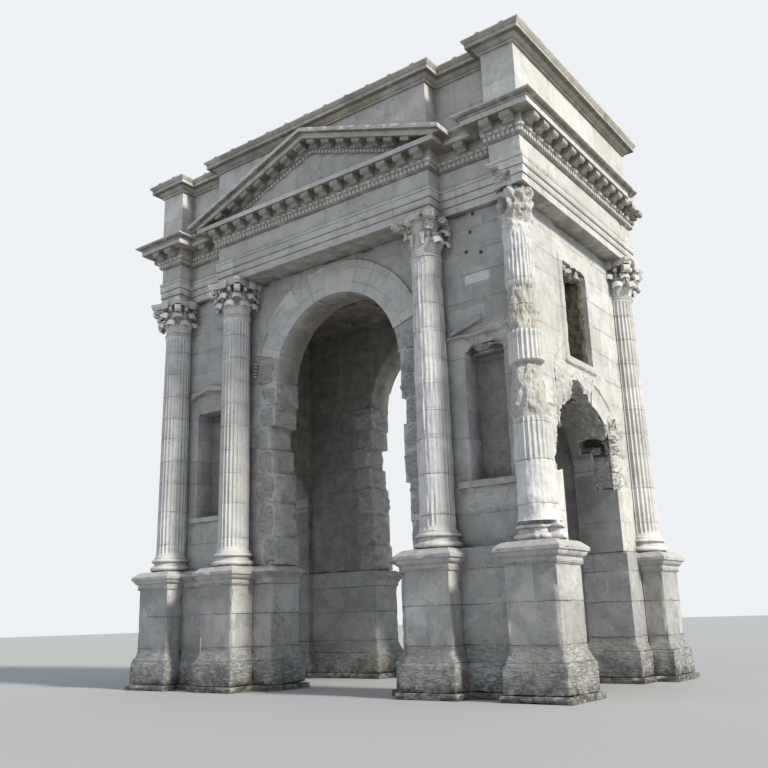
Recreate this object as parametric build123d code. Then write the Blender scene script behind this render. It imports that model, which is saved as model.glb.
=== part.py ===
# A four-way triumphal arch in pale limestone: four masonry piers stand round a square
# crossing, a tall arch opens each long side and a lower one each short side. Engaged fluted
# columns on pedestals carry the entablature, a pediment closes each long side, and an attic
# with its own cornice and a thin stone roof finishes the top. It is a ruin put up again:
# worn jambs, a broken side arch and an eroded corner column are part of it.
# The frame: X runs along the long side, Y from front to rear, Z up, with the origin on the
# ground at the centre of the plan. Every dimension is in millimetres.
import os
from math import atan2, cos, degrees, pi, radians, sin, tan

from build123d import *

# Heights of the courses, from the ground up
footing_height = 120
plinth_height = 500
base_slope_height = 220
die_height = 1380
pedestal_cornice_height = 280
pedestal_slope_height = 120
column_base_height = 330
shaft_height = 5500
capital_height = 900
architrave_height = 580
frieze_height = 390
bed_height = 220
bracket_zone_height = 170
corona_height = 115
gutter_height = 105
attic_height = 1430
attic_cornice_height = 325
roof_thickness = 45

# Walls and the chamber between them
chamber_length = 7800
chamber_beyond_side_arch = 110
long_wall_thickness = 860
arch_wall_thickness = 760
short_wall_thickness = 950
long_base_projection = 260
arch_base_projection = 160
short_base_projection = 70

# Columns and pedestals; the corner columns stand by the outer faces of the walls
column_axis_beyond_long_wall = 210
column_axis_beyond_short_wall = 20
entablature_beyond_axis_x = 345
entablature_beyond_axis_y = 315
inner_columns_apart = 5520
pedestal_width = 980
shaft_radius_low = 350
shaft_radius_top = 312
flute_count = 24
flute_share = 0.72
flute_depth = 30
flute_faces = 3
lower_roll_radius = 475
upper_roll_radius = 450
base_neck_radius = 400
shaft_foot_radius = 380
base_sides = 20
neck_ring_projection = 30
abacus_half_side = 545
abacus_height = 135
leaf_count = 8
leaf_width = 190
volute_radius = 75
bell_sides = 8

# Openings
main_arch_width = 3480
archivolt_below_architrave = 70
side_arch_width = 2660
side_jamb_height = 1655
main_archivolt_width = 740
main_archivolt_projection = 50
side_archivolt_width = 600
side_archivolt_projection = 45
archivolt_edge_width = 110
archivolt_lost_angle = 18

# Niches beside the columns and high on the short sides
niche_width = 850
niche_height = 2540
niche_depth = 500
niche_off_centre = 35
niche_sill_above_pedestal = 1240
niche_sill_height = 130
niche_sill_projection = 90
bay_clear_of_columns = 60
gable_rise = 210
gable_half_span = 780
gable_band = 150
gable_projection = 130
gable_above_niche = 330
window_width = 1140
window_height = 2080
window_depth = 620
window_sill_above_side_arch = 845
window_frame_width = 170
window_frame_projection = 40

# Mouldings
footing_projection = 70
plinth_projection = 110
plinth_edge = 20
base_slope_waist = 40
pedestal_cornice_projection = 140
jamb_cornice_projection = 210
pedestal_fillet_projection = 30
pedestal_fillet_height = 120
thin_edge = 25
architrave_cap_projection = 50
architrave_cap_height = 70
fascia_step = 18
cornice_projection = 520
corona_projection = 390
bed_projection = 110
dentil_band_projection = 65
dentil_band_height = 90
bracket_pitch = 430
bracket_width = 170
bracket_gap_to_edge = 50
bracket_tip_rise = 70
attic_set_out = 20
attic_cornice_projection = 290
roof_margin = 110

# Pediments and ceiling
pediment_apex_below_attic_top = 100
rake_foot_beyond_cornice = 75
rake_gutter_thickness = 90
rake_corona_thickness = 110
rake_bracket_zone = 130
rake_bed_thickness = 110
tympanum_thickness = 60
ceiling_thickness = 250
coffer_depth = 130
coffer_rib = 260
coffer_columns = 5
coffer_rows = 2

# Wear. Each course of a main jamb, from the pedestal up, has its share of the jamb's height
# and has lost this much of its face at the left and at the right pier.
jamb_courses = [
    (0.148, 0, 200),
    (0.189, 50, 180),
    (0.158, 60, 80),
    (0.132, 130, 80),
    (0.127, 230, 150),
    (0.119, 50, 50),
    (0.127, 0, 50),
]
# The hole in the right side arch, by angle from the front springing and reach from the centre
side_arch_break = [(4, 1400), (11, 1500), (38, 1500), (64, 1400), (71, 1720), (81, 1690), (104, 1370)]
side_break_depth = 620
# Blocks lost beside that springing: front or rear, width, height from and to, and depth
lost_jamb_blocks = [
    (-1, 200, -275, 225, 560),
    (1, 220, -335, 1075, 480),
    (1, 330, 475, 825, 720),
]
right_archivolt_kept = (46, 76)
recess_cornice_kept = 230
cornice_break_length = 1150
cornice_break_depth = 420
# The corner column that has lost its base, most of its flutes and its capital: shares of the
# height from the pedestal up, with the radius left at each, and the drums that kept flutes
worn_levels = [
    (0, 465),
    (0.045, 450),
    (0.05, 362),
    (0.2, 352),
    (0.205, 310),
    (0.325, 310),
    (0.35, 355),
    (0.45, 350),
    (0.489, 300),
    (0.569, 300),
    (0.591, 330),
    (0.695, 298),
    (0.889, 305),
    (0.948, 260),
    (1, 285),
]
kept_drums = [(0.2, 0.325), (0.489, 0.569)]
worn_sides = 12
worn_ripple = 0.04
worn_side_angle = 10
worn_side_loss = 0.1

# Pieces that curve against each other stand this far apart, a cut passes a face by this much,
# and parts of one piece are sunk this deep into each other
clearance = 0.3
past = 200
sunk = 10

# Levels worked out from the courses
level_footing = footing_height
level_plinth = level_footing + plinth_height
level_die = level_plinth + base_slope_height
level_pedestal_cornice = level_die + die_height
level_cornice_edge = level_pedestal_cornice + pedestal_cornice_height
level_pedestal_top = level_cornice_edge + pedestal_slope_height
level_shaft = level_pedestal_top + column_base_height
level_capital = level_shaft + shaft_height
level_architrave = level_capital + capital_height
level_frieze = level_architrave + architrave_height
level_bed = level_frieze + frieze_height
level_bracket = level_bed + bed_height
level_corona = level_bracket + bracket_zone_height
level_gutter = level_corona + corona_height
level_attic = level_gutter + gutter_height
level_attic_cornice = level_attic + attic_height
level_roof = level_attic_cornice + attic_cornice_height
level_top = level_roof + roof_thickness

# Plan lines, all for the quarter with positive X and Y
chamber_x = chamber_length / 2
side_radius = side_arch_width / 2
chamber_y = side_radius + chamber_beyond_side_arch
wall_x = chamber_x + short_wall_thickness
wall_y = chamber_y + long_wall_thickness
arch_wall_y = chamber_y + arch_wall_thickness
base_wall_x = wall_x + short_base_projection
base_wall_y = wall_y + long_base_projection
base_arch_y = arch_wall_y + arch_base_projection
corner_x = wall_x + column_axis_beyond_short_wall
corner_y = wall_y + column_axis_beyond_long_wall
inner_x = inner_columns_apart / 2
half_die = pedestal_width / 2
main_radius = main_arch_width / 2
niche_x = (inner_x + corner_x) / 2 + niche_off_centre

# The crown of the main arch keeps its place under the architrave
level_main_spring = (
    level_architrave - archivolt_below_architrave - main_archivolt_width - main_radius
)
level_side_spring = level_pedestal_top + side_jamb_height
niche_floor = level_pedestal_top + niche_sill_above_pedestal
window_floor = level_side_spring + side_radius + window_sill_above_side_arch

# What shows of the wall between two columns
bay_left = inner_x + shaft_radius_low + bay_clear_of_columns
bay_right = corner_x - shaft_radius_low - bay_clear_of_columns

# The entablature stands over the outer faces of the shafts
entablature_x = corner_x + entablature_beyond_axis_x
entablature_y = corner_y + entablature_beyond_axis_y
centre_x = inner_x + entablature_beyond_axis_x
recess_x = corner_x - entablature_beyond_axis_x
recess_y = wall_y + (entablature_y - wall_y) / 4

# The rake of the pediment rises from the level of the attic, a little outside the cornice
attic_face_y = entablature_y + attic_set_out
rake_foot_x = centre_x + cornice_projection + rake_foot_beyond_cornice
rake_apex = level_attic_cornice - pediment_apex_below_attic_top
rake_angle = atan2(rake_apex - level_attic, rake_foot_x)


def block(x_range, y_range, z_range):
    """A squared stone between two values along each axis."""
    size = [high - low for low, high in (x_range, y_range, z_range)]
    corner = Pos(x_range[0], y_range[0], z_range[0])
    return corner * Box(*size, align=(Align.MIN, Align.MIN, Align.MIN))


def face_of(points):
    """A flat face inside a closed line of straight stretches."""
    return make_face(Polyline(*points, close=True))


def section(low, high, profile):
    """The upright section of a course between low and high, with the profile on both ends."""
    right = [(high + out, level) for out, level in profile]
    left = [(low - out, level) for out, level in reversed(profile)]
    return face_of(right + left)


def moulded(x_range, y_range, profile):
    """A course over a rectangle: its four faces follow the profile and meet in mitres."""
    reach = 2 * max(out for out, level in profile) + past
    run_x = x_range[1] - x_range[0] + reach
    run_y = y_range[1] - y_range[0] + reach
    middle_x = sum(x_range) / 2
    middle_y = sum(y_range) / 2
    across_x = Plane.XZ.offset(-middle_y) * section(*x_range, profile)
    across_y = Plane.YZ.offset(middle_x) * section(*y_range, profile)
    along_y = extrude(across_x, run_y / 2, both=True)
    along_x = extrude(across_y, run_x / 2, both=True)
    return along_y & along_x


def moulded_plan(rectangles, profile):
    """A course over several rectangles that overlap, as one body."""
    return fused(moulded(x_range, y_range, profile) for x_range, y_range in rectangles)


def fused(shapes):
    """The shapes joined into one solid, with faces in one plane merged."""
    first, *others = list(shapes)
    if others:
        first = first.fuse(*others)
    return first.clean()


def to_corner(shape, side, end):
    """A piece of the quarter with positive X and Y, mirrored to the named corner."""
    if side < 0:
        shape = shape.mirror(Plane.YZ)
    if end < 0:
        shape = shape.mirror(Plane.XZ)
    return shape


def save(name, shape):
    """Writes one piece to its own file."""
    export_step(shape, f"parts/{name}.step")


CORNERS = {
    "front_left": (-1, -1),
    "front_right": (1, -1),
    "rear_left": (-1, 1),
    "rear_right": (1, 1),
}

# Pedestals and the foot of the piers. A profile is a list of (projection, height).
base_profile = [
    (plinth_projection, level_footing),
    (plinth_projection, level_plinth - plinth_edge),
    (plinth_projection - plinth_edge, level_plinth),
    (base_slope_waist, level_plinth + base_slope_height / 2),
    (0, level_die),
]


def pedestal_cornice(edge):
    """The pedestal's cornice: a fillet, a slope out to a thin edge and a sloped top."""
    fillet = pedestal_fillet_projection
    low = level_pedestal_cornice
    return [
        (0, low),
        (fillet, low),
        (fillet, low + pedestal_fillet_height),
        (edge, level_cornice_edge - thin_edge),
        (edge, level_cornice_edge),
        (0, level_pedestal_top),
    ]


def pedestal(x, y):
    """A pedestal under one column: plinth, sloped base, plain die and cornice."""
    profile = base_profile + pedestal_cornice(pedestal_cornice_projection)
    x_range = (x - half_die, x + half_die)
    y_range = (y - half_die, y + half_die)
    return moulded(x_range, y_range, profile)


# The core of a pier at pedestal level, without its mouldings
core_ranges = [
    ((main_radius, inner_x), (chamber_y, base_arch_y)),
    ((inner_x, base_wall_x), (chamber_y, base_wall_y)),
    ((chamber_x, base_wall_x), (side_radius, base_wall_y)),
]


def pier_core():
    return fused(block(x, y, (level_footing, level_pedestal_top)) for x, y in core_ranges)


def pier_base():
    """The foot of a pier: the base runs all round, the cornice only towards the arch."""
    foot = moulded_plan(core_ranges, base_profile + [(0, level_pedestal_cornice)])
    cap = moulded_plan(core_ranges[:2], pedestal_cornice(jamb_cornice_projection))
    above = (level_pedestal_cornice, level_pedestal_top)
    kept_x = (main_radius - jamb_cornice_projection, base_wall_x)
    cap = cap & block(kept_x, (chamber_y, base_wall_y + jamb_cornice_projection), above)
    nib = block((chamber_x, base_wall_x), (side_radius, base_wall_y), above)
    return fused([foot, cap, nib])


def footing():
    """The low step under a pier and its two pedestals."""
    reach = plinth_projection + footing_projection
    across = (corner_y - half_die, corner_y + half_die)
    under = [((x - half_die, x + half_die), across) for x in (inner_x, corner_x)]
    return fused(
        block((x[0] - reach, x[1] + reach), (y[0] - reach, y[1] + reach), (0, level_footing))
        for x, y in core_ranges + under
    )


# Piers, arch heads and archivolts
def gable(left_end, right_end):
    """The low gable over a niche: two raking bars, kept between two points along X."""
    low = niche_floor + niche_height + gable_above_niche
    high = low + gable_rise
    half = gable_half_span
    bars = [(-half, low), (0, high), (half, low)]
    bars += [(x, level + gable_band) for x, level in reversed(bars)]
    relief = extrude(Plane.XZ * Pos(niche_x, 0) * face_of(bars), -gable_projection)
    kept = block(
        (left_end, right_end), (wall_y, wall_y + gable_projection), (low, high + gable_band)
    )
    return Pos(0, wall_y) * relief & kept


def worn_jamb(side):
    """The jamb of the main arch in its courses, each worn back from the opening."""
    height = level_main_spring - level_pedestal_top
    low = level_pedestal_top
    stones = []
    for share, left_loss, right_loss in jamb_courses:
        loss = left_loss if side < 0 else right_loss
        high = low + share * height
        stones.append(block((main_radius + loss, inner_x), (chamber_y, arch_wall_y), (low, high)))
        low = high
    return stones


def pier(side, gable_ends):
    """A pier above its base: the bay with the niche, the arch jamb and the short return."""
    upright = (level_pedestal_top, level_architrave)
    bay = block((inner_x, wall_x), (chamber_y, wall_y), upright)
    nib = block((chamber_x, wall_x), (side_radius, chamber_y), upright)
    half = niche_width / 2
    sill = block(
        (bay_left, bay_right),
        (wall_y, wall_y + niche_sill_projection),
        (niche_floor - niche_sill_height, niche_floor),
    )
    niche = block(
        (niche_x - half, niche_x + half),
        (wall_y - niche_depth, wall_y + past),
        (niche_floor, niche_floor + niche_height),
    )
    return fused([bay, nib, sill, gable(*gable_ends)] + worn_jamb(side)) - niche


def arch_head():
    """The wall over the main arch, between the centre lines of the inner columns."""
    wall = block(
        (-inner_x, inner_x), (chamber_y, arch_wall_y), (level_main_spring, level_architrave)
    )
    bore = Pos(0, (chamber_y + arch_wall_y) / 2, level_main_spring) * Rot(90, 0, 0)
    return wall - bore * Cylinder(main_radius, 2 * arch_wall_thickness)


def side_head():
    """The wall over the side arch, with the tall framed niche above the crown."""
    wall = block(
        (chamber_x, wall_x), (-side_radius, side_radius), (level_side_spring, level_architrave)
    )
    bore = Pos((chamber_x + wall_x) / 2, 0, level_side_spring) * Rot(0, 90, 0)
    wall = wall - bore * Cylinder(side_radius, 2 * short_wall_thickness)
    half = window_width / 2
    top = window_floor + window_height
    rim = window_frame_width
    frame = block(
        (wall_x, wall_x + window_frame_projection),
        (-half - rim, half + rim),
        (window_floor - rim, top + rim),
    )
    recess = block((wall_x - window_depth, wall_x + past), (-half, half), (window_floor, top))
    return fused([wall, frame]) - recess


def archivolt(radius, width, projection, start, end):
    """A flat ring about the origin, from one angle to another, of a band and a raised edge."""
    outer = radius + width
    edge = outer - archivolt_edge_width
    band = projection / 2
    profile = face_of([
        (radius, 0),
        (outer, 0),
        (outer, projection),
        (edge, projection),
        (edge, band),
        (radius, band),
    ])
    return Rot(0, 0, start) * revolve(Plane.XZ * profile, Axis.Z, end - start)


def side_damage():
    """What is missing from the right side arch: part of the crown and blocks by the spring."""
    points = [(0, level_side_spring)]
    for angle, reach in side_arch_break:
        turn = radians(angle)
        points.append((-reach * cos(turn), level_side_spring + reach * sin(turn)))
    inner = wall_x - side_break_depth
    hole = Pos(inner, 0) * extrude(Plane.YZ * face_of(points), side_break_depth + past)
    lost = [hole]
    for end, width, low, high, depth in lost_jamb_blocks:
        near, far = sorted((end * (side_radius - past), end * (side_radius + width)))
        levels = (level_side_spring + low, level_side_spring + high)
        lost.append(block((wall_x - depth, wall_x + past), (near, far), levels))
    return lost


# Columns
def fluted_ring(radius, height):
    """The corners of a shaft's section: each flute is a hollow of short straight faces."""
    depth = flute_depth * radius / shaft_radius_low
    step = 2 * pi / flute_count
    half_flute = step * flute_share / 2
    ring = []
    for index in range(flute_count):
        for part in range(flute_faces + 1):
            turn = pi * part / flute_faces
            angle = (index + 0.5) * step - half_flute * cos(turn)
            reach = radius - depth * sin(turn)
            ring.append(Vector(reach * cos(angle), reach * sin(angle), height))
    return ring


def stacked(rings):
    """A closed body with flat faces between rings of corners, from the lowest ring up."""
    faces = [Face(Wire.make_polygon(ring)) for ring in (rings[0], rings[-1])]
    for below, above in zip(rings, rings[1:]):
        corners = zip(below, below[1:] + below[:1], above, above[1:] + above[:1])
        for low, low_next, high, high_next in corners:
            faces.append(Face(Wire.make_polygon([low, low_next, high_next, high])))
    return Solid(Shell(faces))


def turned(profile, sides):
    """A turned piece with a many-sided section, from a list of (radius, height)."""
    rings = []
    for radius, height in profile:
        turns = [2 * pi * index / sides for index in range(sides)]
        rings.append([Vector(radius * cos(turn), radius * sin(turn), height) for turn in turns])
    return stacked(rings)


def column_base():
    """Two rolls with a hollow between them, on a round foot."""
    low = level_pedestal_top
    sixth = column_base_height / 6
    roll_edge = (lower_roll_radius + base_neck_radius) / 2
    upper_edge = (upper_roll_radius + base_neck_radius) / 2
    return turned([
        (roll_edge, low),
        (lower_roll_radius, low + sixth),
        (roll_edge, low + 2 * sixth),
        (base_neck_radius, low + 3 * sixth),
        (upper_edge, low + 3.5 * sixth),
        (upper_roll_radius, low + 4 * sixth),
        (upper_edge, low + 5 * sixth),
        (shaft_foot_radius, low + 5 * sixth),
        (shaft_foot_radius, level_shaft),
    ], base_sides)


def fluted_shaft(low, high):
    """The tapering shaft between two heights, with a flat face to every side of a flute."""
    taper = (shaft_radius_low - shaft_radius_top) / shaft_height
    ends = [shaft_radius_low - taper * (level - level_shaft) for level in (low, high)]
    return stacked([fluted_ring(ends[0], low), fluted_ring(ends[1], high)])


def smooth_shaft():
    """A shaft whose flutes have worn away."""
    ends = [(shaft_radius_low, level_shaft), (shaft_radius_top, level_capital)]
    return turned(ends, flute_count)


def worn_ring(radius, height):
    """A lumpy ring round a weathered shaft, flattened on its outer side."""
    ring = []
    for index in range(worn_sides):
        angle = 2 * pi * index / worn_sides
        ripple = worn_ripple * sin(3 * angle)
        outward = max(0, cos(angle - radians(worn_side_angle)))
        reach = radius * (1 + ripple - worn_side_loss * outward)
        ring.append(Vector(reach * cos(angle), reach * sin(angle), height))
    return ring


def worn_column():
    """The eroded corner column, from its pedestal to the architrave."""
    run = level_architrave - level_pedestal_top
    rings = [worn_ring(radius, level_pedestal_top + share * run) for share, radius in worn_levels]
    pieces = [stacked(rings)]
    for low, high in kept_drums:
        pieces.append(fluted_shaft(level_pedestal_top + low * run, level_pedestal_top + high * run))
    return fused(pieces)


def bell_radius(share):
    """The bell of a capital widens from the neck to its lip."""
    return shaft_radius_top * (0.94 + 0.16 * share * share)


def leaf(top_share, reach):
    """One smooth leaf of a capital, rising along the bell and curling out at its tip."""
    low = level_capital + neck_ring_projection
    high = level_capital + capital_height * top_share
    bell = bell_radius(top_share)
    lip = neck_ring_projection
    side = face_of([
        (bell - 2 * lip, low),
        (bell + lip, low),
        (bell + reach, high - 2 * lip),
        (bell + reach / 2, high),
        (bell - 2 * lip, high),
    ])
    return extrude(Plane.XZ * side, leaf_width / 2, both=True)


def abacus():
    """The slab on a capital, hollowed on its four sides, with its corners cut off."""
    half = abacus_half_side
    cut = half / 7
    hollow = half / 5
    side = [
        (half, cut - half),
        (half - hollow * 0.75, (cut - half) / 2),
        (half - hollow, 0),
        (half - hollow * 0.75, (half - cut) / 2),
        (half, half - cut),
    ]
    edge = []
    for turn in range(4):
        edge += [((x, y), (-y, x), (-x, -y), (y, -x))[turn] for x, y in side]
    low = level_architrave - abacus_height
    return extrude(Pos(0, 0, low) * face_of(edge), abacus_height)


def capital(low_leaves=range(leaf_count), high_leaves=range(leaf_count), corners=range(4)):
    """A capital of leaves: neck ring, bell, two tiers of leaves, volutes and hollow abacus.
    A broken one keeps only the leaves and corners that are named."""
    ring = shaft_radius_top + neck_ring_projection
    ring_top = level_capital + 2 * neck_ring_projection
    abacus_low = level_architrave - abacus_height
    bell = turned([
        (shaft_radius_top, level_capital),
        (ring, level_capital + neck_ring_projection),
        (bell_radius(0), ring_top),
        (bell_radius(1), abacus_low),
    ], bell_sides)
    body = [Rot(0, 0, 180 / bell_sides) * bell, abacus()]
    step = 360 / leaf_count
    body += [Rot(0, 0, step * (index + 0.5)) * leaf(0.3, 90) for index in low_leaves]
    body += [Rot(0, 0, step * index) * leaf(0.53, 120) for index in high_leaves]
    corner = abacus_half_side * 1.16
    scroll_x = corner - 1.4 * volute_radius
    arm = face_of([
        (shaft_radius_top * 0.8, level_capital + capital_height * 0.6),
        (scroll_x - volute_radius, abacus_low),
        (shaft_radius_top * 0.8, abacus_low),
    ])
    arm = extrude(Plane.XZ * arm, volute_radius / 2, both=True)
    scroll = extrude(Plane.XZ * RegularPolygon(volute_radius, 8), 0.8 * volute_radius, both=True)
    scroll = Pos(scroll_x, 0, abacus_low - volute_radius + 2 * sunk) * scroll
    for index in corners:
        body += [Rot(0, 0, 45 + 90 * index) * piece for piece in (arm, scroll)]
    flower = Box(1.8 * abacus_half_side, leaf_width, abacus_height)
    flower = Pos(0, 0, level_architrave - abacus_height / 2 - sunk) * flower
    body += [flower, Rot(0, 0, 90) * flower]
    return fused(body)


# Entablature, attic and roof
def upper_plan(spread):
    """The plan of the upper courses: long body, the two end strips and the centre bay."""
    end_x = entablature_x + spread
    end_y = entablature_y + spread
    inside = recess_x - spread
    across = (-end_y, end_y)
    return [
        ((-end_x, end_x), (-recess_y - spread, recess_y + spread)),
        ((inside, end_x), across),
        ((-end_x, -inside), across),
        ((-centre_x - spread, centre_x + spread), across),
    ]


def architrave():
    """Three plain bands, each a little proud of the one below, under a small cap."""
    low = level_architrave
    band = (architrave_height - architrave_cap_height) / 3
    profile = [
        (0, low),
        (0, low + band),
        (fascia_step, low + band),
        (fascia_step, low + 2 * band),
        (2 * fascia_step, low + 2 * band),
        (2 * fascia_step, low + 3 * band),
        (architrave_cap_projection, low + 3 * band + architrave_cap_height / 2),
        (architrave_cap_projection, level_frieze),
    ]
    return moulded_plan(upper_plan(0), profile)


def frieze():
    return moulded_plan(upper_plan(0), [(0, level_frieze), (0, level_bed)])


def bracket(level, height, reach):
    """One bracket, hung from the level above it: deep at the wall, thinner at its tip."""
    back = bed_projection - sunk
    side = face_of([
        (back, level - height),
        (reach, level - height + bracket_tip_rise),
        (reach, level),
        (back, level),
    ])
    return extrude(Plane.YZ * side, bracket_width / 2, both=True)


def bracket_row(start, end, out):
    """Brackets evenly spaced between two points along X, on a face that looks to +Y."""
    count = max(1, round((end - start) / bracket_pitch))
    step = (end - start) / count
    reach = corona_projection - bracket_gap_to_edge
    one = bracket(level_corona, bracket_zone_height, reach)
    return [Pos(start + step * (index + 0.5), out) * one for index in range(count)]


def cornice():
    """The main cornice: bed, brackets, corona and gutter, which stops under the pediments."""
    bed = [
        (0, level_bed),
        (dentil_band_projection, level_bed + dentil_band_height / 2),
        (dentil_band_projection, level_bed + 1.5 * dentil_band_height),
        (bed_projection, level_bracket),
        (bed_projection, level_corona),
        (corona_projection, level_corona),
        (corona_projection, level_gutter),
    ]
    gutter = [
        (corona_projection, level_gutter),
        (corona_projection + gutter_height / 3, level_gutter + gutter_height / 3),
        (cornice_projection, level_attic - thin_edge),
        (cornice_projection, level_attic),
    ]
    plan = upper_plan(0)
    levels = (level_gutter, level_attic)
    open_bay = block(*upper_plan(attic_set_out)[3], levels)
    upper = moulded_plan(plan[:3], gutter) - open_bay
    for end in (-1, 1):
        foot_y = sorted((end * attic_face_y, end * (attic_face_y + cornice_projection)))
        upper = upper - block((-rake_foot_x, rake_foot_x), foot_y, levels)
    body = [moulded_plan(plan, bed), *upper.solids()]
    outside = bed_projection
    for one in bracket_row(-centre_x - outside, centre_x + outside, entablature_y):
        body += [to_corner(one, 1, end) for end in (-1, 1)]
    corner_row = bracket_row(recess_x - outside, entablature_x + outside, entablature_y)
    hidden = corona_projection
    recess_row = bracket_row(centre_x + hidden, recess_x - hidden, recess_y)
    for one in corner_row + recess_row:
        body += [to_corner(one, side, end) for side in (-1, 1) for end in (-1, 1)]
    for one in bracket_row(-entablature_y - outside, entablature_y + outside, entablature_x):
        body += [Rot(0, 0, turn) * one for turn in (-90, 90)]
    return fused(body)


def cornice_break():
    """The stone that has broken off the cornice at the rear right corner."""
    tip_x = entablature_x + cornice_projection
    tip_y = entablature_y + cornice_projection
    depth = cornice_break_depth
    line = face_of([
        (tip_x - depth, level_bracket),
        (tip_x + past, level_bracket),
        (tip_x + past, level_attic + past),
        (tip_x - 0.7 * depth, level_attic + past),
    ])
    along = Pos(0, tip_y + past) * extrude(Plane.XZ * line, cornice_break_length + past)
    across = block(
        (entablature_x - cornice_break_length / 2, tip_x + past),
        (tip_y - depth, tip_y + past),
        (level_bracket, level_attic + past),
    )
    return [along, across]


def chevron(top_depth, bottom_depth, front_y):
    """One layer of both raking cornices, between two depths below the sloping top."""
    upper = rake_apex - top_depth / cos(rake_angle)
    lower = rake_apex - bottom_depth / cos(rake_angle)
    upper_x = (upper - level_gutter) / tan(rake_angle)
    lower_x = (lower - level_gutter) / tan(rake_angle)
    line = [(-upper_x, level_gutter), (0, upper), (upper_x, level_gutter)]
    line += [(lower_x, level_gutter), (0, lower), (-lower_x, level_gutter)]
    return Pos(0, attic_face_y) * extrude(Plane.XZ * face_of(line), attic_face_y - front_y)


def pediment():
    """The raking cornices with their brackets, and the plain tympanum set back in them."""
    front = entablature_y
    corona_depth = rake_gutter_thickness + rake_corona_thickness
    bracket_depth = corona_depth + rake_bracket_zone
    bed_depth = bracket_depth + rake_bed_thickness
    layers = [
        chevron(0, rake_gutter_thickness, front + cornice_projection),
        chevron(rake_gutter_thickness, corona_depth, front + corona_projection),
        chevron(corona_depth, bracket_depth, front + bed_projection),
        chevron(bracket_depth, bed_depth, front + dentil_band_projection),
    ]
    inner = rake_apex - bed_depth / cos(rake_angle)
    inner_half = (inner - level_gutter) / tan(rake_angle)
    triangle = face_of([(-inner_half, level_gutter), (0, inner), (inner_half, level_gutter)])
    layers.append(Pos(0, attic_face_y) * extrude(Plane.XZ * triangle, -tympanum_thickness))
    row = (rake_apex - bracket_depth / cos(rake_angle) - level_gutter) / tan(rake_angle)
    count = round(row / cos(rake_angle) / bracket_pitch)
    reach = corona_projection - bracket_gap_to_edge
    one = Pos(0, front) * bracket(0, rake_bracket_zone, reach)
    for side in (-1, 1):
        for index in range(count):
            x = side * row * (index + 0.5) / count
            level = rake_apex - abs(x) * tan(rake_angle) - corona_depth / cos(rake_angle)
            layers.append(Pos(x, 0, level) * Rot(0, side * degrees(rake_angle), 0) * one)
    room = block(
        (-rake_foot_x, rake_foot_x),
        (attic_face_y, front + cornice_projection),
        (level_gutter, rake_apex),
    )
    return fused(layers) & room


def attic():
    """The plain attic storey; between the pediments it starts on the corona."""
    plan = upper_plan(attic_set_out)
    body = moulded_plan(plan, [(0, level_attic), (0, level_attic_cornice)])
    return fused([body, block(*plan[3], (level_gutter, level_attic_cornice))])


def attic_cornice():
    """The crowning cornice: a fillet, a hollow, a plain band and a projecting edge."""
    low = level_attic_cornice
    edge = attic_cornice_projection
    step = attic_cornice_height / 6
    profile = [
        (edge / 6, low),
        (edge / 6, low + step),
        (edge / 2, low + 2.5 * step),
        (0.8 * edge, low + 2.5 * step),
        (0.8 * edge, low + 4.3 * step),
        (edge, low + 5.4 * step),
        (edge, level_roof),
    ]
    return moulded_plan(upper_plan(attic_set_out), profile)


def roof():
    """The thin stone covering, set back from the edge of the attic cornice."""
    out = attic_set_out + attic_cornice_projection - roof_margin
    return moulded_plan(upper_plan(0), [(out, level_roof), (out - roof_thickness, level_top)])


def ceiling():
    """The coffered slab that closes the chamber, between the four walls."""
    low = level_architrave - ceiling_thickness
    slab = block((-chamber_x, chamber_x), (-chamber_y, chamber_y), (low, level_architrave))
    step_x = (chamber_length - coffer_rib) / coffer_columns
    step_y = (2 * chamber_y - coffer_rib) / coffer_rows
    hollows = GridLocations(step_x, step_y, coffer_columns, coffer_rows)
    coffer = Box(step_x - coffer_rib, step_y - coffer_rib, 2 * coffer_depth)
    return slab - [Pos(0, 0, low) * place * coffer for place in hollows]


# Building and saving the pieces
os.makedirs("parts", exist_ok=True)

column_spots = {"inner": inner_x, "corner": corner_x}
core = pier_core()
pedestal_blocks = {name: pedestal(x, corner_y) - core for name, x in column_spots.items()}
foot = pier_base()
for stone in pedestal_blocks.values():
    foot = foot - stone
footing_stone = footing()
recess_cornice = block(
    (inner_x + half_die, corner_x - half_die - recess_cornice_kept),
    (base_wall_y, base_wall_y + past + jamb_cornice_projection),
    (level_pedestal_cornice, level_pedestal_top + past),
)

# Each niche keeps its gable between two points along X
gable_ends = {
    "front_left": (bay_left, bay_right),
    "front_right": (bay_left, niche_x + gable_band / 3),
    "rear_left": (bay_left, bay_right),
    "rear_right": (bay_left, niche_x + 2 * gable_band),
}

wall_behind = fused([
    block((0, inner_x), (0, arch_wall_y), (level_pedestal_top, level_architrave)),
    block((inner_x, wall_x), (0, wall_y), (level_pedestal_top, level_architrave)),
])
column_bases = column_base()
whole_column = column_bases + fluted_shaft(level_shaft, level_capital)
whole_capital = capital()
column_pieces = {}
capital_pieces = {}
for name in CORNERS:
    for spot in column_spots:
        column_pieces[name, spot] = whole_column
        capital_pieces[name, spot] = whole_capital

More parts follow.
